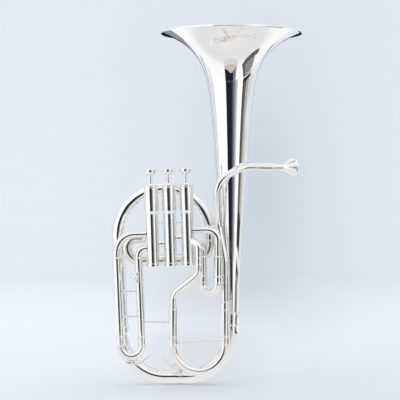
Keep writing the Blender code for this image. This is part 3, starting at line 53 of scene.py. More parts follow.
# Mesh fineness
SIDES = 40
TURN_STEP = radians(5)
EDGE = 0.00015  # from a corner to the point that keeps its shading close
TINY = 1e-5
SHARP_ANGLE = 38

# Clearance, and the leans of the valves, the third slide and the left branch
GAP = 0.0003
VALVE_LEAN = radians(1.8)
THIRD_LEAN = radians(2.4)
BRANCH_LEAN = radians(2.57)

BELL_X = 0.0351


def at(x, y, z):
    """A point with its X counted from the bell's axis."""
    return Vector((BELL_X + x, y, z))


# The valve block's frame, from under the middle valve, and each valve's place along it
BLOCK = Matrix.Translation(at(-0.0866, -0.026, 0.1695)) @ Matrix.Rotation(-VALVE_LEAN, 4, "Y")
OFFSETS = {1: 0.025, 2: 0.0, 3: -0.025}


# Materials
def feed(owner, *values, **named):
    """Feeds a node's inputs from sockets or constants, in their order or by name."""
    sockets = owner.inputs[:len(values)] + [owner.inputs[name.replace("_", " ")] for name in named]
    for socket, value in zip(sockets, [*values, *named.values()]):
        if isinstance(value, bpy.types.NodeSocket):
            owner.id_data.links.new(value, socket)
        else:
            socket.default_value = value
    return owner


def node(tree, kind, *values, **named):
    return feed(tree.nodes.new(f"ShaderNode{kind}"), *values, **named)


def maths(tree, operation, *values, kind="Math", output="Value"):
    made = node(tree, kind, *values)
    made.operation = operation
    return made.outputs[output]


def ramp(tree, source, stops):
    """A colour that follows a value, through stops of (position, colour or grey)."""
    made = node(tree, "ValToRGB", source)
    elements = made.color_ramp.elements
    while len(elements) < len(stops):
        elements.new(0.5)
    for element, (position, tone) in zip(elements, stops):
        element.position = position
        element.color = (*tone, 1) if isinstance(tone, tuple) else (tone, tone, tone, 1)
    return made.outputs["Color"]


def new_material(name):
    material = bpy.data.materials.new(name)
    material.use_nodes = True
    return material, material.node_tree, material.node_tree.nodes["Principled BSDF"]


def noise(tree, scale, detail, roughness=0.5):
    place = node(tree, "TexCoord").outputs["Object"]
    made = node(tree, "TexNoise", Vector=place, Scale=scale, Detail=detail, Roughness=roughness)
    return made.outputs["Fac"]


def relief(tree, height, strength, distance):
    made = node(tree, "Bump", Strength=strength, Distance=distance, Height=height)
    return made.outputs["Normal"]


def metal(name, tone, shade, rough, rough_more, bump, scale=38.0):
    """Polished metal with a faint mottle, wiping marks and a slightly wavy surface."""
    material, tree, shader = new_material(name)
    mottle, wipe = noise(tree, scale, 3.0, 0.55), noise(tree, scale * 7, 4.0, 0.6)
    feed(
        shader,
        Metallic=1.0,
        Base_Color=ramp(tree, mottle, [(0.3, shade), (0.62, tone)]),
        Roughness=ramp(tree, wipe, [(0.35, rough), (0.75, rough + rough_more)]),
        Normal=relief(tree, noise(tree, scale * 1.4, 1.0, 0.4), bump, 0.0006),
    )
    return material


def cork(name, colour):
    material, tree, shader = new_material(name)
    grain = noise(tree, 900.0, 4.0)
    darker = tuple(channel * 0.62 for channel in colour)
    tones = ramp(tree, grain, [(0.38, darker), (0.6, colour)])
    feed(shader, Roughness=0.9, Base_Color=tones, Normal=relief(tree, grain, 0.35, 0.0003))
    return material


# The bell's own material, because its inside is roughened below
SILVER, SILVER_BELL = (
    metal(name, (0.965, 0.962, 0.955), (0.94, 0.935, 0.92), 0.02, 0.035, 0.1)
    for name in ("silver_plate", "silver_bell")
)
SILVER_CASING = metal("silver_casing", (0.96, 0.958, 0.95), (0.935, 0.93, 0.915), 0.115, 0.05, 0.06)
SILVER_TUBE = metal("silver_tube", (0.96, 0.957, 0.945), (0.93, 0.925, 0.9), 0.085, 0.06, 0.05, 60.0)
# Warm tarnish for the tube in the recess behind the valves, darkened and yellowed further by painted shade
# from the recess
SILVER_AGED_SHADED = metal("silver_aged_shaded", (0.935, 0.928, 0.88), (0.88, 0.87, 0.79), 0.1, 0.08, 0.05, 50.0)
SILVER_FINE = metal("silver_turned", (0.955, 0.95, 0.94), (0.92, 0.912, 0.885), 0.045, 0.05, 0.05, 60.0)
SILVER_WORN = metal("silver_worn", (0.95, 0.943, 0.915), (0.89, 0.875, 0.82), 0.13, 0.06, 0.05, 90.0)
PISTON = metal("nickel_piston", (0.74, 0.72, 0.69), (0.66, 0.64, 0.6), 0.18, 0.12, 0.05, 60.0)
STEEL = metal("spring_wire", (0.56, 0.57, 0.6), (0.46, 0.47, 0.49), 0.22, 0.15, 0.04, 120.0)
CORK = cork("cork_pad", (0.62, 0.45, 0.28))


# Routes: lists of (point, tangent) along straight runs and round bends
def bent(corners, radii=()):
    """A route through rounded corners, with support points at the ends of its straight runs."""
    points = [Vector(corner) for corner in corners]
    route = [(points[0], (points[1] - points[0]).normalized())]
    for before, corner, after, radius in zip(points, points[1:], points[2:], radii):
        incoming = (corner - before).normalized()
        outgoing = (after - corner).normalized()
        angle = incoming.angle(outgoing)
        axis = incoming.cross(outgoing).normalized()
        start = corner - incoming * radius * tan(angle / 2)
        centre = start + axis.cross(incoming) * radius
        steps = max(3, ceil(angle / TURN_STEP))
        for step in range(steps + 1):
            turn = Matrix.Rotation(angle * step / steps, 3, axis)
            route.append((centre + turn @ (start - centre), turn @ incoming))
    route.append((points[-1], (points[-1] - points[-2]).normalized()))
    kept = [route[0]]
    for point, tangent in route[1:]:
        last, before = kept[-1]
        if (point - last).length < TINY:
            continue
        if before.angle(tangent) < 1e-3 and (point - last).length > 10 * EDGE:
            kept += [(last + tangent * EDGE, tangent), (point - tangent * EDGE, tangent)]
        kept.append((point, tangent))
    return kept


def distances(route):
    """How far along the route each point lies."""
    found = [0.0]
    for (before, _), (after, _) in zip(route, route[1:]):
        found.append(found[-1] + (after - before).length)
    return found


def length_of(route):
    return distances(route)[-1]


def station_at(route, along, distance):
    """The point and tangent at a distance along the route."""
    for index in range(len(along) - 1):
        if distance <= along[index + 1] + 1e-9:
            break
    share = (distance - along[index]) / (along[index + 1] - along[index])
    (point, tangent), (other, turned) = route[index:index + 2]
    return point.lerp(other, share), tangent.lerp(turned, share).normalized()


def mark_at(route, along, z):
    """How far along it a falling route passes a height."""
    below = next(index for index, (point, _) in enumerate(route) if point.z < z)
    high, low = route[below - 1][0].z, route[below][0].z
    return along[below - 1] + (high - z) / (high - low) * (along[below] - along[below - 1])


# Shapes: (points, faces). A sweep's profile is (mark along the route, radius), a lathe's is (radius, height)
def filled(profile, along):
    """The profile with the route's own stations between its marks, forwards or backwards."""
    full = [profile[0]]
    for (start, radius), (end, other) in zip(profile, profile[1:]):
        low, high = sorted((start, end))
        inside = [mark for mark in along if low + TINY < mark < high - TINY]
        if end < start:
            inside.reverse()
        for mark in inside:
            full.append((mark, radius + (other - radius) * (mark - start) / (end - start)))
        full.append((end, other))
    return full


def supported(profile):
    """The profile with a point close to each corner of its long runs, which keeps the shading there."""
    spots = [Vector(spot) for spot in profile]
    runs = [end - start for start, end in zip(spots, spots[1:])]
    straight = [False]
    for before, after in zip(runs, runs[1:]):
        both_real = min(before.length, after.length) > 1e-9
        straight.append(both_real and before.angle(after) < radians(6))
    straight.append(False)
    full = [spots[0]]
    for index, run in enumerate(runs):
        if run.length > 8 * EDGE:
            step = run.normalized() * EDGE
            if not straight[index]:
                full.append(spots[index] + step)
            if not straight[index + 1]:
                full.append(spots[index + 1] - step)
        full.append(spots[index + 1])
    return [tuple(spot) for spot in full]


def ring_faces(rings, sides, closed=False):
    """Faces between rings of points, joined into a ring or with a face at each end."""
    faces = [] if closed else [tuple(range(sides))[::-1]]
    for ring in range(rings if closed else rings - 1):
        low, high = ring * sides, (ring + 1) % rings * sides
        for index in range(sides):
            following = (index + 1) % sides
            faces.append((low + index, low + following, high + following, high + index))
    return faces if closed else faces + [tuple(low + sides + index for index in range(sides))]


def turns(sides):
    return [2 * pi * index / sides for index in range(sides)]


def sweep(route, profile, sides=SIDES, across=SIDEWAYS):
    """A round shape whose radius follows the profile along a route."""
    along = distances(route)
    marks = filled(supported(profile), along)
    points = []
    for mark, radius in marks:
        point, tangent = station_at(route, along, mark)
        side = tangent.cross(across).normalized()
        up = side.cross(tangent)
        for turn in turns(sides):
            points.append(point + side * (cos(turn) * radius) + up * (sin(turn) * radius))
    return points, ring_faces(len(marks), sides)


def lathe(profile, matrix, sides=48, ring=False):
    """A profile turned about the matrix's Z axis, and closed on itself for a ring."""
    profile = supported(profile)
    points = []
    for radius, height in profile:
        for turn in turns(sides):
            points.append(matrix @ Vector((cos(turn) * radius, sin(turn) * radius, height)))
    return points, ring_faces(len(profile), sides, ring)


def facing(point, direction):
    """A frame at a point, with Z along the direction."""
    turn = direction.normalized().to_track_quat("Z", "Y").to_matrix().to_4x4()
    return Matrix.Translation(point) @ turn


def joined(*shapes):
    points, faces = [], []
    for more_points, more_faces in shapes:
        base = len(points)
        points += more_points
        faces += [tuple(base + index for index in face) for face in more_faces]
    return points, faces


def bar(start, end, radius, sides=20, edge=0.0002):
    length = (end - start).length
    profile = [(radius - edge, 0), (radius, edge), (radius, length - edge), (radius - edge, length)]
    return lathe(profile, facing(start, end - start), sides)


def ball(point, radius):
    return lathe(arc(0, 0, radius, -90, 90, 12), Matrix.Translation(point), 24)


def placed(name, data, location=(0, 0, 0)):
    obj = bpy.data.objects.new(name, data)
    obj.location = location
    bpy.context.scene.collection.objects.link(obj)
    return obj


def piece(stands_for, shape, material=SILVER, body="horn", angle=SHARP_ANGLE, name=None):
    """A mesh that rides on a body and replaces the CAD node that it stands for, if any."""
    nodes = [stands_for] if stands_for else []
    name = name or f"{stands_for}_fine"
    points, faces = shape
    origin = sum(points, Vector()) / len(points)
    mesh = bpy.data.meshes.new(name)
    mesh.from_pydata([tuple(point - origin) for point in points], [], faces)
    mesh.validate()
    bm = bmesh.new()
    bm.from_mesh(mesh)
    bmesh.ops.remove_doubles(bm, verts=bm.verts, dist=2e-6)
    bmesh.ops.recalc_face_normals(bm, faces=bm.faces)
    bm.to_mesh(mesh)
    bm.free()
    mesh.shade_smooth()
    mesh.set_sharp_from_angle(angle=radians(angle))
    mesh.materials.append(material)
    obj = placed(name, mesh, origin)
    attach(obj, body)
    if nodes:
        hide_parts(*nodes)
    return obj


# Profiles
RING_WIDTH = 0.0018
RING_RISE = 0.0006
QUARTER_ROUND = [(0.0, 0.0), (0.29, 0.71), (1.0, 1.0)]


def tenths(table, first=0.0, second=0.0):
    """Profile points from a table in tenths of a millimetre, counted from two values."""
    return [(first + one / 10000, second + other / 10000) for one, other in table]


def arc(radius, height, bend, first, last, steps):
    """Lathe profile points on an arc of radius bend about (radius, height), in degrees."""
    angles = [radians(first + (last - first) * index / steps) for index in range(steps + 1)]
    return [(max(0.0, radius + bend * cos(angle)), height + bend * sin(angle)) for angle in angles]


def band(start, end, low, high, edge=None):
    """A raised band with rounded edges, from low to high radius."""
    edge = min(edge or (end - start) / 2, (end - start) / 2, high - low)
    rise = [(start + edge * a, high - edge + edge * b) for a, b in QUARTER_ROUND]
    fall = [(end - edge * a, high - edge + edge * b) for a, b in reversed(QUARTER_ROUND)]
    return [(start, low)] + rise + fall + [(end, low)]


def ring_on(radius, start):
    return band(start, start + RING_WIDTH, radius, radius + RING_RISE)


def tapered(route, start, end, bands=()):
    """An even taper along a route, with bands of (start, end, rise)."""
    length = length_of(route)
    profile = [(0, start)]
    for low, high, rise in bands:
        middle = start + (end - start) * (low + high) / 2 / length
        profile += band(low, high, middle, middle + rise)
    return profile + [(length, end)]


def flipped(profile):
    """A sweep's profile as a lathe's."""
    return [(radius, mark) for mark, radius in profile]


def backwards(profile, length):
    """A sweep's profile from a route's far end."""
    return [(length - mark, radius) for mark, radius in reversed(profile)]


def mouth(profile, bore, depth):
    """Opens a sweep's end, with a rim and a short bore."""
    mark, radius = profile[-1]
    lip = (radius - bore) * 0.3
    rim = [(mark - lip, radius), (mark, radius - lip), (mark, bore + lip), (mark - lip, bore)]
    return profile[:-1] + rim + [(mark - depth, bore)]


# Bell
RIM_RADIUS = 0.102
RIM_Z = 0.506
RIM_BEAD = 0.0016
BELL_TOP_Z = RIM_Z - 0.0018
BELL_END_Z = 0.093
BELL_WALL = 0.0007
THROAT = 0.0099
CONE, CONE_CURVE = 0.0276, 1.25
FLARE, FLARE_REACH = 0.0645, 0.025


def bell_radius(z):
    """The throat, a curved cone that grows from it and a flare near the rim."""
    drop = RIM_Z - z
    cone = CONE * max(0.0, 1 - drop / (RIM_Z - BELL_END_Z)) ** CONE_CURVE
    return THROAT + cone + FLARE * exp(-drop / FLARE_REACH)


def bell_wall(inset):
    """The bell's side from the rim down, moved inwards by the inset."""
    points = []
    rings, crowding = 110, 1.7
    for index in range(rings + 1):
        share = (index / rings) ** crowding
        z = BELL_TOP_Z - (BELL_TOP_Z - BELL_END_Z) * share
        slope = (bell_radius(z + TINY) - bell_radius(z - TINY)) / (2 * TINY)
        normal = Vector((-1.0, slope)).normalized()
        points.append((bell_radius(z) + normal.x * inset, z + normal.y * inset))
    return points


def satin_inside(obj, low, high, roughness):
    """Leaves a turned shell unpolished inside below a height, fading out at another."""
    tree = obj.data.materials[0].node_tree
    shader = tree.nodes["Principled BSDF"]
    polish = shader.inputs["Roughness"].links[0].from_socket
    place = node(tree, "TexCoord").outputs
    level = maths(tree, "MULTIPLY", place["Object"], (1, 1, 0), kind="VectorMath", output="Vector")
    outwards = maths(tree, "DOT_PRODUCT", level, place["Normal"], kind="VectorMath")
    inside = maths(tree, "LESS_THAN", outwards, 0.0)
    height = node(tree, "SeparateXYZ", place["Object"]).outputs["Z"]
    base = obj.location.z
    depth = node(tree, "MapRange", Value=height, From_Min=high - base, From_Max=low - base)
    share = maths(tree, "MULTIPLY", inside, depth.outputs["Result"])
    feed(shader, Roughness=maths(tree, "MULTIPLY_ADD", share, roughness, polish))


def make_bell():
    axis = Matrix.Translation(at(0, 0, 0))
    bead = arc(RIM_RADIUS - RIM_BEAD, RIM_Z - RIM_BEAD, RIM_BEAD, -60, 140, 12)
    wall = bell_wall(0.0)[::-1] + bead + bell_wall(BELL_WALL)
    bell = piece("bell", lathe(wall, axis, 160, ring=True), SILVER_BELL)
    satin_inside(bell, low=0.4, high=0.485, roughness=0.42)
    low, high = BELL_END_Z - 0.01, BELL_END_Z + 0.01
    bore = THROAT + 0.00045
    outer = bore + 0.0009
    step = outer + 0.0002
    bands = ring_on(outer, 0.0) + band(0.0032, 0.004, outer, step)
    bands += band(0.016, 0.0168, outer, step) + ring_on(outer, 0.0182)
    profile = [(radius, high - mark) for mark, radius in bands]
    profile = [(bore - GAP, high)] + profile + [(bore - GAP, low)]
    piece("bell_ferrule", lathe(profile, axis, 64, ring=True), SILVER_FINE)


# Large branches
REACH = 0.1722
ARC_TOP_Z = 0.2803
ARC_RADIUS = 0.0665
ARC_Y = 0.004
ARC_RIGHT_X = -0.0307
ARC_END_Z = ARC_TOP_Z - ARC_RADIUS
ARC_START, ARC_END = 0.0081, 0.0085
JOINT_Z = 0.163
BOW_JOINT_Z = 0.082
BOW_Z = 0.0096
BOW_START, BOW_MIDDLE = 0.0088, 0.0096
BOW_BENDS = (0.0615, 0.0669)
JOINT_REACH = 0.008
SOCKET = 0.0089
BRANCH_SIDES = 48


def left_point(z):
    x = -REACH + 0.0085 + (ARC_END_Z - z) * tan(BRANCH_LEAN)
    share = (z - BOW_JOINT_Z) / (ARC_END_Z - BOW_JOINT_Z)
    return at(x, ARC_Y * max(0.0, min(1.0, share)), z)


def left_branch_profile(length):
    """A socket at each end, hiding the tube between them."""
    upper, lower = 0.00955, 0.00985
    profile = [(0, ARC_END)] + band(0.0, SOCKET, ARC_END, upper, 0.0004)[:4]
    profile += band(0.0066, 0.0082, upper, 0.0101) + tenths([(86, 95.5), (89, 92), (89, 85)])
    profile += tenths([(-89, 88), (-89, 95), (-86, 98.5)], length)
    profile += band(length - 0.0082, length - 0.0066, lower, 0.0104)
    return profile + tenths([(-4, 98.5), (0, 95), (0, 88)], length)


def make_branches():
    start, top = (at(ARC_RIGHT_X, ARC_Y, z) for z in (ARC_END_Z - JOINT_REACH, ARC_TOP_Z))
    route = bent([start, top, left_point(ARC_TOP_Z), left_point(JOINT_Z)], [ARC_RADIUS] * 2)
    piece("top_branch", sweep(route, tapered(route, ARC_START, ARC_END), BRANCH_SIDES))
    route = bent([left_point(JOINT_Z + JOINT_REACH), left_point(BOW_JOINT_Z - JOINT_REACH)])
    piece("left_branch", sweep(route, left_branch_profile(length_of(route)), BRANCH_SIDES))
    corners = [left_point(BOW_JOINT_Z), left_point(BOW_Z), at(0, 0, BOW_Z), at(0, 0, BELL_END_Z)]
    route = bent(corners, BOW_BENDS)
    half = length_of(route) / 2
    profile = [(0, BOW_START), (half, BOW_MIDDLE), (half * 2, THROAT)]
    piece("bottom_bow", sweep(route, profile, BRANCH_SIDES))


# Valves, with ports given as (height, azimuth) in the block's frame
CASING = 0.0089
CASING_UPPER = 0.0099
CASING_BORE = 0.0084
CASING_TOP = 0.1128
CASING_SIDES = 64
CAP_BORE = 0.0029
CAP_RIM = 0.0098
KNURL_DEPTH = 0.00018
TUBE = 0.0052
SINK = 0.0006  # how far a tube or a strut's foot reaches into what it is joined to
BUTTON = 0.0083
BUTTON_FOOT = 0.1308
STEM = 0.0025
STEM_END = 0.102
IN_1, OUT_1 = (0.034, radians(-38)), (0.0404, radians(180))
FRONT_1, REAR_1 = (0.0505, radians(-4)), (0.031, radians(32))
OUT_2 = (0.033, radians(180))
UPPER_2, LOWER_2 = 0.047, 0.027
OUT_3 = (0.0404, radians(115))
UPPER_3, LOWER_3 = (0.0472, radians(180)), (0.027, radians(180))


def port_axis(valve, port):
    """Where a port's axis leaves its casing's axis, and its direction."""
    height, azimuth = port
    centre = BLOCK @ Vector((OFFSETS[valve], 0, height))
    return centre, BLOCK.to_3x3() @ Vector((cos(azimuth), sin(azimuth), 0))


def port_start(valve, port):
    centre, direction = port_axis(valve, port)
    return centre + direction * (CASING - SINK)


def port_reach(valve, port, x, slope=0.0):
    """Where a port's axis meets an upright line at X, or one that leans by the third slide's slope."""
    centre, direction = port_axis(valve, port)
    gap = BELL_X + x + (THIRD_TOP_Z - centre.z) * slope - centre.x
    return centre + direction * (gap / (direction.x + direction.z * slope))


def casing_shape(matrix):
    table = [(-2, 15), (0, 18), (0, 750), (5, 756), (9, 764), (9, 772), (5, 779), (3, 784), (6, 788)]
    profile = [(CASING_BORE, 0.0015)] + tenths(table, CASING) + tenths([(-1, 791), (0, 795)], CASING_UPPER)
    profile += tenths([(0, -4), (-3, 0)], CASING_UPPER, CASING_TOP) + [(CASING_BORE, CASING_TOP)]
    return lathe(profile, matrix, CASING_SIDES, ring=True)


def top_cap_shape(matrix):
    low = CASING_TOP + GAP
    high = low + 0.003
    rim = CASING_UPPER + 0.0001
    profile = [(CAP_BORE, low)] + tenths([(-4, 0), (0, 4), (0, 9), (-4, 12), (-4, 14), (0, 17)], rim, low)
    profile += tenths([(0, -8), (-5, -2), (-16, 0)], rim, high)
    profile += tenths([(52, 0), (44, 2), (40, 8), (40, 18), (36, 24), (29, 24)], 0.0, high)
    return lathe(profile, matrix, CASING_SIDES, ring=True)


def bottom_cap_shape(matrix):
    """A cap with a small boss below and fine knurling round its rim."""
    profile = tenths([(0, 0), (22, 0), (30, 7), (52, 7), (60, 0)])
    profile += tenths([(-18, 0), (-5, 6), (0, 13), (0, 44), (-2, 50)], CAP_RIM)
    profile += tenths([(2, 52), (2, 46)], CASING) + tenths([(0, 46)])
    points, faces = lathe(profile, matrix, 96)
    inverse = matrix.inverted()
    for index, point in enumerate(points):
        local = inverse @ point
        radius = hypot(local.x, local.y)
        if radius > CAP_RIM - 0.0001 and 0.001 < local.z < 0.0045:
            pull = 1 - KNURL_DEPTH / radius * (index % 2)
            points[index] = matrix @ Vector((local.x * pull, local.y * pull, local.z))
    return points, faces


def button_shape(matrix):
    profile = [(0, STEM_END), (STEM, STEM_END)] + tenths([(25, -2), (30, 1), (42, 3)], 0.0, BUTTON_FOOT)
    swell = ((0.7, 0.0007), (0.86, 0.0021), (0.96, 0.004))
    profile += [(BUTTON * share, BUTTON_FOOT + rise) for share, rise in swell]
    table = [(0, 60), (0, 73), (-3, 79), (-9, 83), (-11, 86), (-14, 90), (-20, 92)]
    profile += tenths(table, BUTTON, BUTTON_FOOT) + tenths([(0, 92)], 0.0, BUTTON_FOOT)
    return lathe(profile, matrix, CASING_SIDES)


def make_valves():
    for valve, offset in OFFSETS.items():
        matrix = BLOCK @ Matrix.Translation((offset, 0, 0))
        piece(f"valve_casing_{valve}", casing_shape(matrix), SILVER_CASING)
        piece(f"top_cap_{valve}", top_cap_shape(matrix), SILVER_FINE)
        piece(f"bottom_cap_{valve}", bottom_cap_shape(matrix), SILVER_FINE, angle=60)
        piece(f"finger_button_{valve}", button_shape(matrix), SILVER_WORN, f"valve_{valve}")
    neighbours = ((1, 2), (2, 3))
    for (right, left), (height, _) in zip(neighbours, (OUT_1, OUT_2)):
        start = BLOCK @ Vector((OFFSETS[right] - CASING + SINK, 0, height))
        end = BLOCK @ Vector((OFFSETS[left] + CASING - SINK, 0, height))
        route = bent([start, end])
        end = length_of(route)
        bands = [(0.0004, 0.0016, 0.0004), (end - 0.0016, end - 0.0004, 0.0004)]
        piece(f"knuckle_{right}_{left}", sweep(route, tapered(route, TUBE, TUBE, bands)))
    for right, left in neighbours:
        for number, height in enumerate((0.017, 0.0626), 1):
            start, end = (BLOCK @ Vector((OFFSETS[valve], 0, height)) for valve in (right, left))
            piece(f"casing_brace_{right}_{left}_{number}", strut(start, CASING, end, CASING))


def make_springs():
    """Each valve's coil spring, shortened by its piston."""
    wire, radius, curls, steps = 0.0004, 0.0062, 4, 24
    low, high = 0.0019, 0.0183
    upwards = BLOCK.to_3x3() @ UPWARDS
    for valve, offset in OFFSETS.items():
        matrix = BLOCK @ Matrix.Translation((offset, 0, 0))
        points = []
        for index in range(curls * steps + 1):
            turn = 2 * pi * index / steps
            height = low + (high - low) * index / (curls * steps)
            points.append(matrix @ Vector((radius * cos(turn), radius * sin(turn), height)))
        ways = [after - before for before, after in zip(points[:1] + points, points[1:] + points[-1:])]
        route = [(point, heading.normalized()) for point, heading in zip(points, ways)]
        shape = sweep(route, [(0, wire), (length_of(route), wire)], 10, upwards)
        spring = piece(f"valve_spring_{valve}", shape, STEEL)
        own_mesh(spring)


# Braces
STRUT = 0.0015
STRUT_FOOT = 0.003
STRUT_CURVE = 0.0022


def strut(start, start_radius, end, end_radius, radius=STRUT, knob=0.0):
    """A turned bar between two tubes, with flared feet and perhaps a knob at its middle."""
    direction = (end - start).normalized()
    base = start + direction * (start_radius - SINK)
    length = (end - start).length - start_radius - end_radius + 2 * SINK
    rise = min(STRUT_CURVE, length / 3)
    half = [(0, STRUT_FOOT), (SINK + rise * 0.18, STRUT_FOOT), (SINK + rise * 0.3, STRUT_FOOT * 0.92)]
    half.append((SINK + rise * 0.5, radius + (STRUT_FOOT - radius) * 0.35))
    half += [(SINK + rise * 0.85, radius * 1.12), (SINK + rise * 1.2, radius)]
    swell = [(knob * 1.3, radius), (knob * 0.9, knob * 0.8), (knob * 0.4, knob)] if knob else []
    middle = [(length / 2 - mark, wide) for mark, wide in swell]
    middle += [(length / 2 + mark, wide) for mark, wide in reversed(swell)]
    return lathe(flipped(half + middle + backwards(half, length)), facing(base, direction), 28)


# Tubes that end in slide sleeves, and the slides' legs
PLAY = 0.00012
SLEEVE_RISE = 0.00085
FERRULE_RISE = 0.00115
BOW_RISE = 0.00055
MAIN_FERRULE = 0.011
SMALL_FERRULE = 0.0085
MOUTH_DEPTH = 0.012


def open_sleeve(profile, length, leg, depth=MOUTH_DEPTH):
    """Ends a profile in a sleeve's ring and mouth, with play for the leg."""
    outer = leg + SLEEVE_RISE
    ended = profile + ring_on(outer, length - 0.0024)
    return mouth(ended + [(length, outer - 0.0001)], leg + PLAY, depth)


def sleeve_profile(length, sleeve, leg):
    """A tube, then a sleeve with a ring at each end, open for the leg."""
    outer = leg + SLEEVE_RISE
    start = length - sleeve
    ring = band(start, start + RING_WIDTH, TUBE, outer + RING_RISE)[:-1]
    profile = [(0, TUBE), (start, TUBE)] + ring + [(start + RING_WIDTH, outer)]
    return open_sleeve(profile, length, leg, min(MOUTH_DEPTH, sleeve * 0.5))


def leg_profile(length, leg, leg_length, ferrule):
    outer = leg + FERRULE_RISE
    first = leg_length + ferrule
    profile = [(0, leg - 0.0004), (0.0004, leg), (leg_length, leg)]
    profile += [(leg_length, outer - 0.0003), (leg_length + 0.0003, outer), (first - 0.0022, outer)]
    profile += band(first - 0.0022, first - 0.0006, outer, outer + 0.00045)
    profile += [(first - 0.0003, outer), (first, outer - 0.0003), (first, leg + BOW_RISE)]
    return profile + backwards(profile, length)


def u_corners(top, low, half):
    return [top - half, low - half, low + half, top + half]


def make_slide(name, corners, bend, leg, leg_length, ferrule, body, matrix, across=SIDEWAYS):
    route = bent([matrix @ Vector(corner) for corner in corners], [bend] * 2)
    profile = leg_profile(length_of(route), leg, leg_length, ferrule)
    return piece(name, sweep(route, profile, SIDES, matrix.to_3x3() @ across), SILVER_TUBE, body)


def sleeve_piece(name, corners, bend, sleeve, leg, across=SIDEWAYS):
    route = bent(corners, [bend] if bend else [])
    profile = sleeve_profile(length_of(route), sleeve, leg)
    piece(name, sweep(route, profile, SIDES, across), SILVER_TUBE)


def make_rear_branch():
    """From the third valve, behind the block and up to the arch."""
    behind, left_x, crossing_z = -0.006, -0.1496, 0.1766
    centre, direction = port_axis(3, OUT_3)
    turn = centre + direction * ((behind - centre.y) / direction.y)
    corners = [port_start(3, OUT_3), turn, at(left_x, behind, turn.z), at(left_x, behind, crossing_z)]
    corners += [at(ARC_RIGHT_X, ARC_Y, z) for z in (crossing_z, ARC_END_Z)]
    route = bent(corners, [0.012, 0.013, 0.019, 0.024])
    length = length_of(route)
    socket = 0.009
    profile = [(0, TUBE), (0.022, 0.0069)] + tenths([(-89, 76), (-89, 87), (-86, 90)], length)
    profile += band(length - 0.008, length - 0.0064, socket, 0.0096)
    profile += tenths([(-3, 90), (0, 86), (0, 80)], length)
    # Its colour holds painted recess shade besides warm tarnish
    piece("rear_branch", sweep(route, profile, 44), SILVER_AGED_SHADED)


# Leadpipe, receiver and mouthpiece
MAIN_LEFT = (-0.0833, -0.028)
MAIN_RIGHT = (-0.0096, -0.018)
PIPE_START, PIPE_END = 0.0049, 0.0054
CROSSING = at(0.0164, -0.0251, 0.3115)
MOUTH_TURN = radians(36)
MOUTH_WAY = Vector((cos(MOUTH_TURN), sin(MOUTH_TURN), 0))
RECEIVER = 0.0055
RECEIVER_START, RECEIVER_LENGTH, SHANK = 0.0195, 0.0358, 0.02
BELL_BRACE = 0.0024
BELL_BRACE_Z = 0.174
PIPE_BRACE_Z = 0.2255


def main_left(z):
    return at(*MAIN_LEFT, z)


def main_right(z):
    return at(*MAIN_RIGHT, z)


LEADPIPE = bent(
    [
        CROSSING + MOUTH_WAY * 0.0275,
        CROSSING,
        at(-0.0222, -0.0334, 0.2913),
        at(-0.0195, -0.015, 0.2299),
        at(-0.00995, -0.0176, 0.1756),
        main_right(0.112),
    ],
    (0.04, 0.031, 0.055, 0.06),
)


def leadpipe_at(z):
    """The leadpipe's middle and radius at a height."""
    along = distances(LEADPIPE)
    mark = mark_at(LEADPIPE, along, z)
    return station_at(LEADPIPE, along, mark)[0], PIPE_START + (PIPE_END - PIPE_START) * mark / along[-1]


def make_leadpipe():
    piece("leadpipe", sweep(LEADPIPE, tapered(LEADPIPE, PIPE_START, PIPE_END)))
    end = RECEIVER_LENGTH
    collar = end - 0.0062
    rings = ((0.0, 0.0018, 0.0006), (0.003, 0.0037, 0.00025), (collar, collar + 0.0014, 0.0006))
    rings += ((collar + 0.0022, end - 0.002, 0.0003), (end - 0.0016, end, 0.0006))
    profile = [(0.0047, 0.0)]
    for low, high, rise in rings:
        profile += flipped(band(low, high, RECEIVER, RECEIVER + rise))
    profile += [(0.0044, end), (0.00425, end - 0.0004), (0.00405, end - 0.006)]
    shape = lathe(profile, facing(CROSSING + MOUTH_WAY * RECEIVER_START, MOUTH_WAY), ring=True)
    piece("mouthpiece_receiver", shape, SILVER_FINE, name="receiver_fine")
    pipe, radius = leadpipe_at(BELL_BRACE_Z)
    stem = bell_radius(BELL_BRACE_Z)
    piece("bell_brace", strut(at(0, 0, BELL_BRACE_Z), stem, pipe, radius, BELL_BRACE))
    pipe, radius = leadpipe_at(PIPE_BRACE_Z)
    piece("leadpipe_brace", strut(at(ARC_RIGHT_X, ARC_Y, PIPE_BRACE_Z), ARC_START, pipe, radius))


def make_mouthpiece():
    """Shank, swelling cup and rounded rim, hollow from the rim to the throat."""
    cup, rim, top = 0.0336, 0.0531, 0.0578
    swell_steps, bowl_steps = 14, 12
    profile = tenths([(26, 0), (32, 0), (34, 4), (41, 200)])
    profile += tenths([(41, -22), (45, -19), (47, -12), (45, -5), (42, 0)], 0.0, cup)
    for index in range(1, swell_steps + 1):
        share = index / swell_steps
        profile.append((0.0041 + 0.0091 * share**1.3, cup + (rim - cup) * share))
    profile += tenths([(132, 18), (130, 26)], 0.0, rim)
    profile += tenths([(125, -4), (117, -1), (108, 0), (100, -2), (94, -6), (90, -13)], 0.0, top)
    for index in range(1, bowl_steps + 1):
        share = index / bowl_steps
        profile.append((0.0021 + 0.0069 * (1 - share**1.6), top - 0.0013 - 0.0136 * share))
    profile.append((0.0028, 0.0))
    start = CROSSING + MOUTH_WAY * (RECEIVER_START + RECEIVER_LENGTH - SHANK)
    piece("mouthpiece", lathe(profile, facing(start, MOUTH_WAY), 72, ring=True), SILVER, "mouthpiece")


# First valve's bend and the tuning slide
MAIN_LEG = 0.0055
MAIN_END_Z = 0.0683


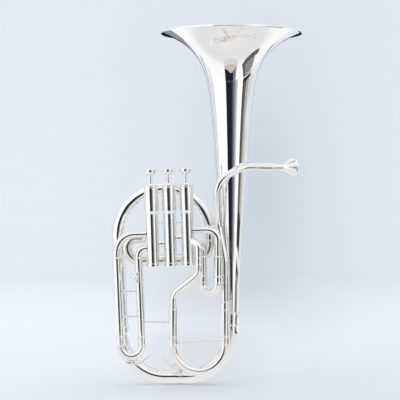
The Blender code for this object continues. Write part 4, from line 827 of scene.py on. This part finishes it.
def make_tuning():
    first = port_reach(1, IN_1, -0.0471)
    down = Vector((first.x, first.y + 0.003, 0.1584))
    corners = [port_start(1, IN_1), first, down, main_left(0.13), main_left(0.109)]
    route = bent(corners, [0.01, 0.018, 0.018])
    along = distances(route)
    marks = [mark_at(route, along, z) for z in (0.183, 0.173)]
    bands = [(mark - RING_WIDTH / 2, mark + RING_WIDTH / 2, RING_RISE) for mark in marks]
    piece("s_bend", sweep(route, tapered(route, TUBE, TUBE, bands)), SILVER_TUBE)
    outer = MAIN_LEG + SLEEVE_RISE
    left = [(0, TUBE), (0, outer - 0.0003), (0.0003, outer)] + ring_on(outer, 0.003)
    right = [(0, 0.0053), (0, outer)] + ring_on(outer, 0.0) + ring_on(outer, 0.0114)
    for name, side, top, profile in (("left", main_left, 0.113, left), ("right", main_right, 0.1194, right)):
        route = bent([side(top), side(MAIN_END_Z)])
        shape = sweep(route, open_sleeve(profile, length_of(route), MAIN_LEG))
        piece(f"main_sleeve_{name}", shape, SILVER_TUBE)
    body = "main_tuning_slide"
    bend = (main_right(0) - main_left(0)).length / 2
    low, high = MAIN_END_Z - GAP - MAIN_FERRULE - bend, MAIN_END_Z + 0.034
    corners = [main_left(high), main_left(low), main_right(low), main_right(high)]
    make_slide("main_slide", corners, bend, MAIN_LEG, 0.0343, MAIN_FERRULE, body, Matrix.Identity(4))
    ferrule = MAIN_LEG + FERRULE_RISE
    brace = strut(main_left(0.0607), ferrule, main_right(0.064), ferrule, knob=0.0024)
    piece("main_slide_brace", brace, SILVER, body)


# First, second and third slides
VALVE_LEG = 0.0048
THIRD_LEG = 0.0049
FIRST_END_Z = 0.1543
SECOND_END_Y = 0.034
THIRD_TOP_Z = 0.176
THIRD_END_Z = 0.0685
THIRD_Y = -0.026
THIRD_OUTER_X, THIRD_INNER_X = -0.1633, -0.1326
THIRD_SPACING = (THIRD_INNER_X - THIRD_OUTER_X) * cos(THIRD_LEAN)
LOWER_BRACE_Z = 0.0908


def make_first_slide():
    front = port_reach(1, FRONT_1, -0.0199)
    rear = port_reach(1, REAR_1, -0.0404)
    for name, port, corner, bend in (("front", FRONT_1, front, 0.015), ("rear", REAR_1, rear, 0.011)):
        end = Vector((corner.x, corner.y, FIRST_END_Z))
        sleeve_piece(f"first_tube_{name}", [port_start(1, port), corner, end], bend, 0.03, VALVE_LEG)
    middle = (front + rear) / 2
    middle.z = FIRST_END_Z
    half = (front - rear) / 2
    half.z = 0
    bend = half.length
    corners = u_corners(UPWARDS * 0.026, UPWARDS * (-GAP - SMALL_FERRULE - bend), half)
    matrix = Matrix.Translation(middle)
    make_slide("first_slide", corners, bend, VALVE_LEG, 0.0263, SMALL_FERRULE, "first_valve_slide", matrix)


def make_second_slide():
    along_block = Vector((1, 0, 0))
    across = BLOCK.to_3x3() @ along_block
    for name, height in (("upper", UPPER_2), ("lower", LOWER_2)):
        corners = [BLOCK @ Vector((0, y, height)) for y in (CASING - SINK, SECOND_END_Y)]
        sleeve_piece(f"second_tube_{name}", corners, 0, 0.0215, VALVE_LEG, across)
    half = (UPPER_2 - LOWER_2) / 2
    matrix = BLOCK @ Matrix.Translation((0, SECOND_END_Y, (UPPER_2 + LOWER_2) / 2))
    corners = u_corners(SIDEWAYS * -0.019, SIDEWAYS * (GAP + SMALL_FERRULE + half), UPWARDS * -half)
    body = "second_valve_slide"
    make_slide("second_slide", corners, half, VALVE_LEG, 0.0193, SMALL_FERRULE, body, matrix, along_block)


def third_point(x, y, z):
    """A point on a line that leans with the third slide."""
    return at(x + (THIRD_TOP_Z - z) * tan(THIRD_LEAN), y, z)


def third_frame():
    """The third slide's frame, midway between the ends of its sleeves."""
    point = third_point((THIRD_OUTER_X + THIRD_INNER_X) / 2, THIRD_Y, THIRD_END_Z)
    return Matrix.Translation(point) @ Matrix.Rotation(-THIRD_LEAN, 4, "Y")


def make_third_slide():
    sleeve = (0.1825 - THIRD_END_Z) / cos(THIRD_LEAN)
    tubes = (("outer", UPPER_3, THIRD_OUTER_X, 0.026), ("inner", LOWER_3, THIRD_INNER_X, 0.011))
    for name, port, x, bend in tubes:
        corner = port_reach(3, port, x, tan(THIRD_LEAN))
        corners = [port_start(3, port), corner, third_point(x, corner.y, THIRD_END_Z)]
        sleeve_piece(f"third_tube_{name}", corners, bend, sleeve, THIRD_LEG)
    outer = THIRD_LEG + SLEEVE_RISE
    across = Vector((cos(THIRD_LEAN), 0, sin(THIRD_LEAN))) * THIRD_SPACING
    for number, z in enumerate((0.1334, 0.0978), 1):
        start = third_point(THIRD_OUTER_X, THIRD_Y, z)
        piece(f"third_slide_brace_{number}", strut(start, outer, start + across, outer))
    start = third_point(THIRD_INNER_X, THIRD_Y, LOWER_BRACE_Z)
    piece("lower_brace", strut(start, outer, main_left(LOWER_BRACE_Z), MAIN_LEG + SLEEVE_RISE))
    half = THIRD_SPACING / 2
    slant = half * tan(THIRD_LEAN)
    top, low = 0.07, -GAP - MAIN_FERRULE - half - slant
    corners = u_corners(UPWARDS * top, UPWARDS * low, Vector((half, 0, 0)))
    leg, body = top + GAP + slant, "third_valve_slide"
    make_slide("third_slide", corners, half, THIRD_LEG, leg, MAIN_FERRULE, body, third_frame())


# Water keys: angles are in the plane of the slide's bow, whose centre is the matrix's origin
KEY_WIRE = 0.0009
KEY_REACH = 0.0036
HINGE_RISE = 0.0046
COIL, COIL_WIRE = 0.00215, 0.00018
CUP = [(0, 6), (36, 6), (38, 9), (38, 14), (30, 18), (12, 21), (0, 21)]
TOUCH_PIECE = [(0, -9), (20, -9), (26, -4), (26, 3), (21, 8), (0, 9)]
PAD = [(0, 0), (32, 0), (34, 2), (34, 7), (0, 7)]


def on_bow(matrix, radius, angle):
    return matrix @ Vector((cos(angle) * radius, 0.0, sin(angle) * radius))


def away(matrix, angle):
    return matrix.to_3x3() @ Vector((cos(angle), 0, sin(angle)))


def key_saddle(matrix, surface, hinge_angle, cup_angle):
    """A strap along the bow, posts with the hinge's pin, and the nipple under the cup."""
    side = matrix.to_3x3() @ SIDEWAYS
    hinge = on_bow(matrix, surface + HINGE_RISE, hinge_angle)
    height = surface + GAP + 0.0011
    steps = 8
    angles = [hinge_angle + (cup_angle - hinge_angle) * index / steps for index in range(steps + 1)]
    spots = [on_bow(matrix, height, angle) for angle in angles]
    first = spots[0] + (spots[0] - spots[1]).normalized() * 0.0018
    spine = bent([first] + spots, [0.02] * (steps - 1))
    foot, post = spots[0], hinge + away(matrix, hinge_angle) * 0.0013
    shapes = [
        sweep(spine, [(0.0, 0.0005), (0.0004, KEY_WIRE), (length_of(spine), KEY_WIRE)], 16, side),
        bar(foot - side * KEY_REACH, foot + side * KEY_REACH, KEY_WIRE),
    ]
    for hand in (side, -side):
        shapes.append(bar(foot + hand * KEY_REACH, post + hand * KEY_REACH, KEY_WIRE))
        shapes.append(ball(post + hand * KEY_REACH, KEY_WIRE))
    shapes.append(bar(hinge - side * 0.0047, hinge + side * 0.0047, 0.0011))
    nipple = [on_bow(matrix, surface + rise, cup_angle) for rise in (-0.0002, 0.0027)]
    return joined(*shapes, bar(*nipple, 0.0028, 28, 0.0005))


def make_water_key(name, matrix, surface, hinge_degrees, cup_degrees, tip_rise, slide_body):
    """A hinged lever on its saddle, with cup, cork, wire spring and touch piece."""
    hinge_angle, cup_angle = radians(hinge_degrees), radians(cup_degrees)
    shape = key_saddle(matrix, surface, hinge_angle, cup_angle)
    piece(f"{name}_key_saddle", shape, SILVER_FINE, slide_body)
    side = matrix.to_3x3() @ SIDEWAYS
    outwards, cup_way = away(matrix, hinge_angle), away(matrix, cup_angle)
    sign = 1 if cup_angle > hinge_angle else -1
    tangent = matrix.to_3x3() @ Vector((-sin(hinge_angle), 0, cos(hinge_angle))) * sign
    hinge = on_bow(matrix, surface + HINGE_RISE, hinge_angle)
    seat = on_bow(matrix, surface + 0.003, cup_angle)
    over = hinge + outwards * 0.0025
    tip = hinge - tangent * 0.019 + outwards * tip_rise
    corners = [seat + cup_way * 0.0014, over + tangent * 0.0012, over - tangent * 0.002, tip]
    arm = bent(corners, [0.004] * 2)
    length = length_of(arm)
    lever = [
        bar(hinge - side * 0.0025, hinge + side * 0.0025, 0.0019, 28),
        sweep(arm, [(0, 0.001), (length * 0.45, 0.0013), (length * 0.8, 0.0011), (length, 0.0013)], 20, side),
        lathe(tenths(CUP), facing(seat, cup_way), 32),
        lathe(tenths(TOUCH_PIECE), facing(tip, outwards), 32),
    ]
    wire = arc(COIL, 0.0, COIL_WIRE, 0, 315, 7)
    for hand in (-1, 1):
        for turn in range(2):
            centre = hinge + side * hand * (0.0019 + 0.00045 * turn)
            lever.append(lathe(wire, facing(centre, side), 24, ring=True))
    piece(f"{name}_key_lever", joined(*lever), SILVER_FINE, f"{name}_water_key")
    pad = lathe(tenths(PAD), facing(seat, cup_way), 28)
    piece(None, pad, CORK, f"{name}_water_key", name=f"{name}_key_cork")


def make_water_keys():
    across = main_right(0) - main_left(0)
    centre = (main_right(0) + main_left(0)) / 2
    centre.z = MAIN_END_Z - GAP - MAIN_FERRULE
    matrix = Matrix.Translation(centre) @ Matrix.Rotation(atan2(across.y, across.x), 4, "Z")
    surface = across.length / 2 + (MAIN_LEG + BOW_RISE)
    make_water_key("main", matrix, surface, 218, 234, 0.0037, "main_tuning_slide")
    half = THIRD_SPACING / 2
    drop = -GAP - MAIN_FERRULE - half * tan(THIRD_LEAN)
    matrix = third_frame() @ Matrix.Translation((0, 0, drop))
    surface = half + (THIRD_LEG + BOW_RISE)
    make_water_key("third", matrix, surface, 289, 259, -0.0025, "third_valve_slide")


# Lyre socket with its ball-headed screw
LYRE_TURN = radians(252)
LYRE_Z = 0.1545
LYRE, LYRE_BORE, LYRE_HALF = 0.0028, 0.0014, 0.0075
SCREW_BALL = 0.004


def make_lyre():
    outwards = Vector((cos(LYRE_TURN), sin(LYRE_TURN), 0))
    outer = THIRD_LEG + SLEEVE_RISE
    sleeve = third_point(THIRD_INNER_X, THIRD_Y, LYRE_Z)
    centre = sleeve + outwards * (outer + GAP + LYRE_HALF * tan(THIRD_LEAN) + LYRE)
    profile = tenths([(0, -73), (2, -75)], LYRE_BORE)
    profile += tenths([(-3, -75), (0, -72), (0, 50), (3, 52), (3, 70), (0, 75)], LYRE)
    profile += tenths([(2, 75), (0, 73)], LYRE_BORE)
    bridge = bar(sleeve + outwards * (outer - 0.0005), centre - outwards * (LYRE - SINK), 0.0019, 24)
    shape = joined(lathe(profile, Matrix.Translation(centre), 36, ring=True), bridge)
    piece("lyre_socket", shape, SILVER_FINE)
    neck = LYRE + GAP
    screw = [(0, LYRE_BORE), (0.0012, LYRE_BORE)]
    screw += tenths([(12, -2), (21, 0), (24, 4), (24, 9), (18, 14)], 0.0, neck)
    screw += arc(0.0, neck + 0.001 + 0.00344, SCREW_BALL, -62, 90, 16)
    piece("lyre_screw", lathe(screw, facing(centre, outwards), 40), SILVER_FINE, "lyre_screw")


make_bell()
make_branches()
make_valves()
make_springs()
make_rear_branch()
make_leadpipe()
make_mouthpiece()
make_tuning()
make_first_slide()
make_second_slide()
make_third_slide()
make_water_keys()
make_lyre()
for valve in OFFSETS:
    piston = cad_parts[f"piston_{valve}"]
    piston.data.materials.clear()
    piston.data.materials.append(PISTON)


# Stage: a pale floor with a swept backdrop, darkened behind the horn by painted shade, and a room that is
# seen only in reflections
def stage_mesh(name, points, faces, colour, glow=0.0):
    """A stage surface that is matt, or glows evenly at a strength."""
    mesh = bpy.data.meshes.new(name)
    mesh.from_pydata(points, [], faces)
    mesh.shade_smooth()
    material, _, shader = new_material(name)
    feed(shader, Base_Color=(0, 0, 0, 1) if glow else (*colour, 1), Roughness=0.9, Specular_IOR_Level=0.0)
    if glow:
        feed(shader, Emission_Color=(*colour, 1), Emission_Strength=glow)
    mesh.materials.append(material)
    obj = placed(name, mesh)
    return obj


def tones_about(tree, centre, scale, stops):
    """A colour that changes with the distance from a point."""
    place = node(tree, "TexCoord").outputs["Object"]
    shift = [-value * factor for value, factor in zip(centre, scale)]
    mapping = node(tree, "Mapping", place, Location=shift, Scale=scale)
    sphere = node(tree, "TexGradient", mapping.outputs["Vector"])
    sphere.gradient_type = "SPHERICAL"
    return ramp(tree, sphere.outputs["Fac"], stops)


def faded(obj, socket, *places):
    """Multiplies the tones about some places on a stage surface."""
    tree = obj.data.materials[0].node_tree
    colour = tones_about(tree, *places[0])
    for place in places[1:]:
        other = tones_about(tree, *place)
        colour = maths(tree, "MULTIPLY", colour, other, kind="VectorMath", output="Vector")
    feed(tree.nodes["Principled BSDF"], **{socket: colour})


FLOOR_RADIUS = 3.0
COVE = 0.9
STAGE_HEIGHT = 1.8
WALL_DISTANCE = 1.2
FLOOR_Z, NEAR_Z, CARD_Z = -0.0006, 0.0004, 0.0008
WHITE = (1.07, 1.07, 1.07)
NAVY = (0.012, 0.017, 0.03)
DARK = (0.035, 0.033, 0.036)
GREY = (0.13, 0.125, 0.12)
BEIGE = (0.44, 0.42, 0.39)
# Upright cards round the horn: azimuths from the camera's side (right is +), heights, colour
WALLS = [
    (-100, -28, 0.0, 2.6, WHITE),
    (-28, 1, 0.03, 0.6, NAVY),
    (1, 6, 0.03, 0.6, (0.045, 0.055, 0.075)),
    (6, 11, 0.0, 0.55, (0.1, 0.11, 0.13)),
    (11, 17, 0.0, 0.5, (0.2, 0.21, 0.23)),
    (17, 24, 0.0, 0.5, (0.36, 0.365, 0.38)),
    (24, 31, 0.0, 0.45, (0.62, 0.625, 0.635)),
    (-28, 6, 0.0, 0.03, (0.06, 0.06, 0.07)),
    (31, 56, 0.0, 1.6, WHITE),
    (56, 61, 0.115, 0.28, DARK),
    (61, 74, 0.115, 0.28, GREY),
    (74, 88, 0.115, 0.3, BEIGE),
    (56, 92, 0.045, 0.115, DARK),
    (56, 92, 0.02, 0.045, (0.85, 0.86, 0.88)),
    (56, 92, 0.0, 0.02, DARK),
    (88, 104, 0.115, 0.3, (0.68, 0.68, 0.68)),
    (56, 104, 0.3, 1.0, (0.85, 0.85, 0.85)),
    (145, 152, 0.0, 0.45, BEIGE),
    (166, 190, 0.0, 0.6, NAVY),
    (190, 200, 0.0, 0.6, (0.3, 0.31, 0.33)),
    (218, 226, 0.0, 0.45, (0.45, 0.44, 0.42)),
]
# Cards on the floor: corners in centimetres, colour
FLOORS = {
    "mid_floor": ([(-30, -46), (-15, -40), (14, -40), (30, -46), (28, -56), (-34, -56)], (0.74, 0.69, 0.65)),
    "far_floor": (
        [(-34, -56), (-36, -62), (-22, -72), (-8, -86), (6, -86), (15, -76), (28, -62), (28, -56)],
        (0.6, 0.53, 0.45),
    ),
    "dark_floor": (
        [(-36, -62), (-59, -110), (0, -122), (16, -118), (15, -76), (6, -86), (-8, -86), (-22, -72)],
        NAVY,
    ),
    "grey_floor": ([(15, -76), (16, -118), (40, -114), (28, -62)], (0.24, 0.245, 0.26)),
    "floor_strip": ([(50, 22), (50, -45), (99.5, -67.1), (107, -54), (64, -36), (62.5, 22)], GREY),
    "side_floor": ([(63, 10), (64, -36), (107, -54), (117, -10), (105, 10)], (0.27, 0.27, 0.27)),
    "strip_edge": ([(48.5, 22), (48.5, -46), (99, -69), (100, -66.5), (50.5, -44), (50.5, 22)], NAVY),
}
# Painted shade behind the horn: centre, scale, tones inwards. A darker halo painted on the backdrop, and
# painted soft shadows on the far floor and near floor
PAINTED_SHADES = (
    ((0.225, 3.6, 0.28), (1, 0.1, 0.45), [
        (0.2, (0.91, 0.932, 0.955)), (0.5, (0.885, 0.905, 0.93)), (0.66, (0.85, 0.877, 0.905)),
        (0.78, (0.805, 0.842, 0.872)), (0.86, (0.76, 0.8, 0.832)), (0.98, (0.7, 0.745, 0.778)),
    ]),
    ((0.055, 1.9, 0), (1 / 0.32, 1 / 1.9, 1), [
        (0.0, (1, 1, 1)), (0.2, (0.978, 0.977, 0.975)), (0.4, (0.943, 0.941, 0.937)),
        (0.6, (0.903, 0.9, 0.895)), (0.8, (0.875, 0.87, 0.863)), (1.0, (0.862, 0.856, 0.848)),
    ]),
    ((-0.015, 0.45, 0), (1 / 0.14, 1 / 0.6, 1), [
        (0.0, (1, 1, 1)), (0.25, (0.963, 0.962, 0.96)), (0.6, (0.915, 0.912, 0.907)),
        (1.0, (0.893, 0.888, 0.88)),
    ]),
)
# The floor that the metal reflects near the horn, by distance
NEAR_FLOOR = [
    (0.0, (0.86, 0.85, 0.855)), (0.28, (0.8, 0.79, 0.805)), (0.45, (0.79, 0.8, 0.83)),
    (0.58, (0.93, 0.94, 0.96)), (0.68, (1.0, 1.0, 1.0)),
]


def card(name, points, faces, colour):
    """A card that glows evenly and shows in reflections alone."""
    made = stage_mesh(name, points, faces, colour, 1.0)
    for ray in ("camera", "shadow", "diffuse", "transmission"):
        setattr(made, f"visible_{ray}", False)
    return made


def flat_card(name, corners, z, colour):
    return card(name, [(x, y, z) for x, y in corners], [tuple(range(len(corners)))], colour)


def wall_card(name, first, last, low, high, colour):
    """An upright card that curves about the horn."""
    steps = max(1, round(abs(last - first) / 6))
    points = []
    for index in range(steps + 1):
        turn = radians(first + (last - first) * index / steps)
        x, y = sin(turn) * WALL_DISTANCE, -cos(turn) * WALL_DISTANCE
        points += [(x, y, low), (x, y, high)]
    card(name, points, [(2 * i, 2 * i + 2, 2 * i + 3, 2 * i + 1) for i in range(steps)], colour)


def make_stage():
    """A round floor that curves up into a wall, and the cards that the metal reflects."""
    rows = [(radius, 0.0) for radius in (0.0, 0.4, 1.2, FLOOR_RADIUS)]
    for index in range(1, 13):
        turn = radians(90 * index / 12)
        rows.append((FLOOR_RADIUS + COVE * sin(turn), COVE - COVE * cos(turn)))
    rows.append((FLOOR_RADIUS + COVE, STAGE_HEIGHT))
    points, faces = lathe(rows, Matrix.Translation((0, 0, FLOOR_Z)), 96)
    room = stage_mesh("floor_and_backdrop", [tuple(point) for point in points], faces[:-1], (0.9, 0.9, 0.9))
    # Paints shade into the colour of the floor and backdrop behind the horn
    faded(room, "Base Color", *PAINTED_SHADES)
    for name, (corners, colour) in FLOORS.items():
        flat_card(name, [(x / 100, y / 100) for x, y in corners], CARD_Z, colour)
    angles = [radians(10 * index) for index in range(36)]
    rim = [(cos(turn) * WALL_DISTANCE, sin(turn) * WALL_DISTANCE) for turn in angles]
    near = flat_card("near_floor", rim, NEAR_Z, (1, 1, 1))
    stops = [(1 - distance, colour) for distance, colour in reversed(NEAR_FLOOR)]
    faded(near, "Emission Color", ((0, 0, 0), (1, 1, 1), stops))
    for number, wall in enumerate(WALLS):
        wall_card(f"wall_{number}", *wall)


def make_light(name, place, target, size, power, colour):
    data = bpy.data.lights.new(name, "AREA")
    data.shape = "RECTANGLE"
    data.size, data.size_y = size
    data.energy = power
    data.color = colour
    lamp = placed(name, data, place)
    aim = Vector(target) - Vector(place)
    lamp.rotation_euler = aim.to_track_quat("-Z", "Y").to_euler()
    lamp.visible_glossy = False


def make_world():
    """Pale light all round, brighter to the camera and in reflections."""
    world = bpy.data.worlds.new("studio")
    bpy.context.scene.world = world
    world.use_nodes = True
    tree = world.node_tree
    rays = node(tree, "LightPath").outputs
    seen = rays["Is Camera Ray"]
    for kind in ("Is Glossy Ray", "Is Transmission Ray"):
        seen = maths(tree, "MAXIMUM", seen, rays[kind])
    level = ramp(tree, seen, [(0.0, 0.79), (1.0, 0.97)])
    feed(tree.nodes["Background"], Color=(0.94, 0.97, 1.0, 1), Strength=level)


def make_camera():
    data = bpy.data.cameras.new("camera")
    data.lens = 134.4
    data.sensor_width = 36.0
    data.clip_start = 0.05
    data.clip_end = 50
    camera = placed("camera", data, (-0.01026, -2.15, 0.2642))
    camera.rotation_euler = (radians(90), 0, 0)
    bpy.context.scene.camera = camera


make_stage()
make_light("left_softbox", (-1.6, -1.0, 1.4), (0, 0, 0.2), (1.6, 1.6), 6, (1.0, 0.99, 0.97))
make_light("top_light", (0.2, 0.3, 2.2), (0, 0, 0.1), (2.0, 1.6), 6.5, (0.98, 0.99, 1.0))
make_light("back_light", (0, 0.9, 2.3), (0, 3.7, 0.5), (3.6, 1.0), 14, (0.99, 0.995, 1.0))
make_world()
make_camera()
bpy.context.scene.view_settings.view_transform = "Standard"
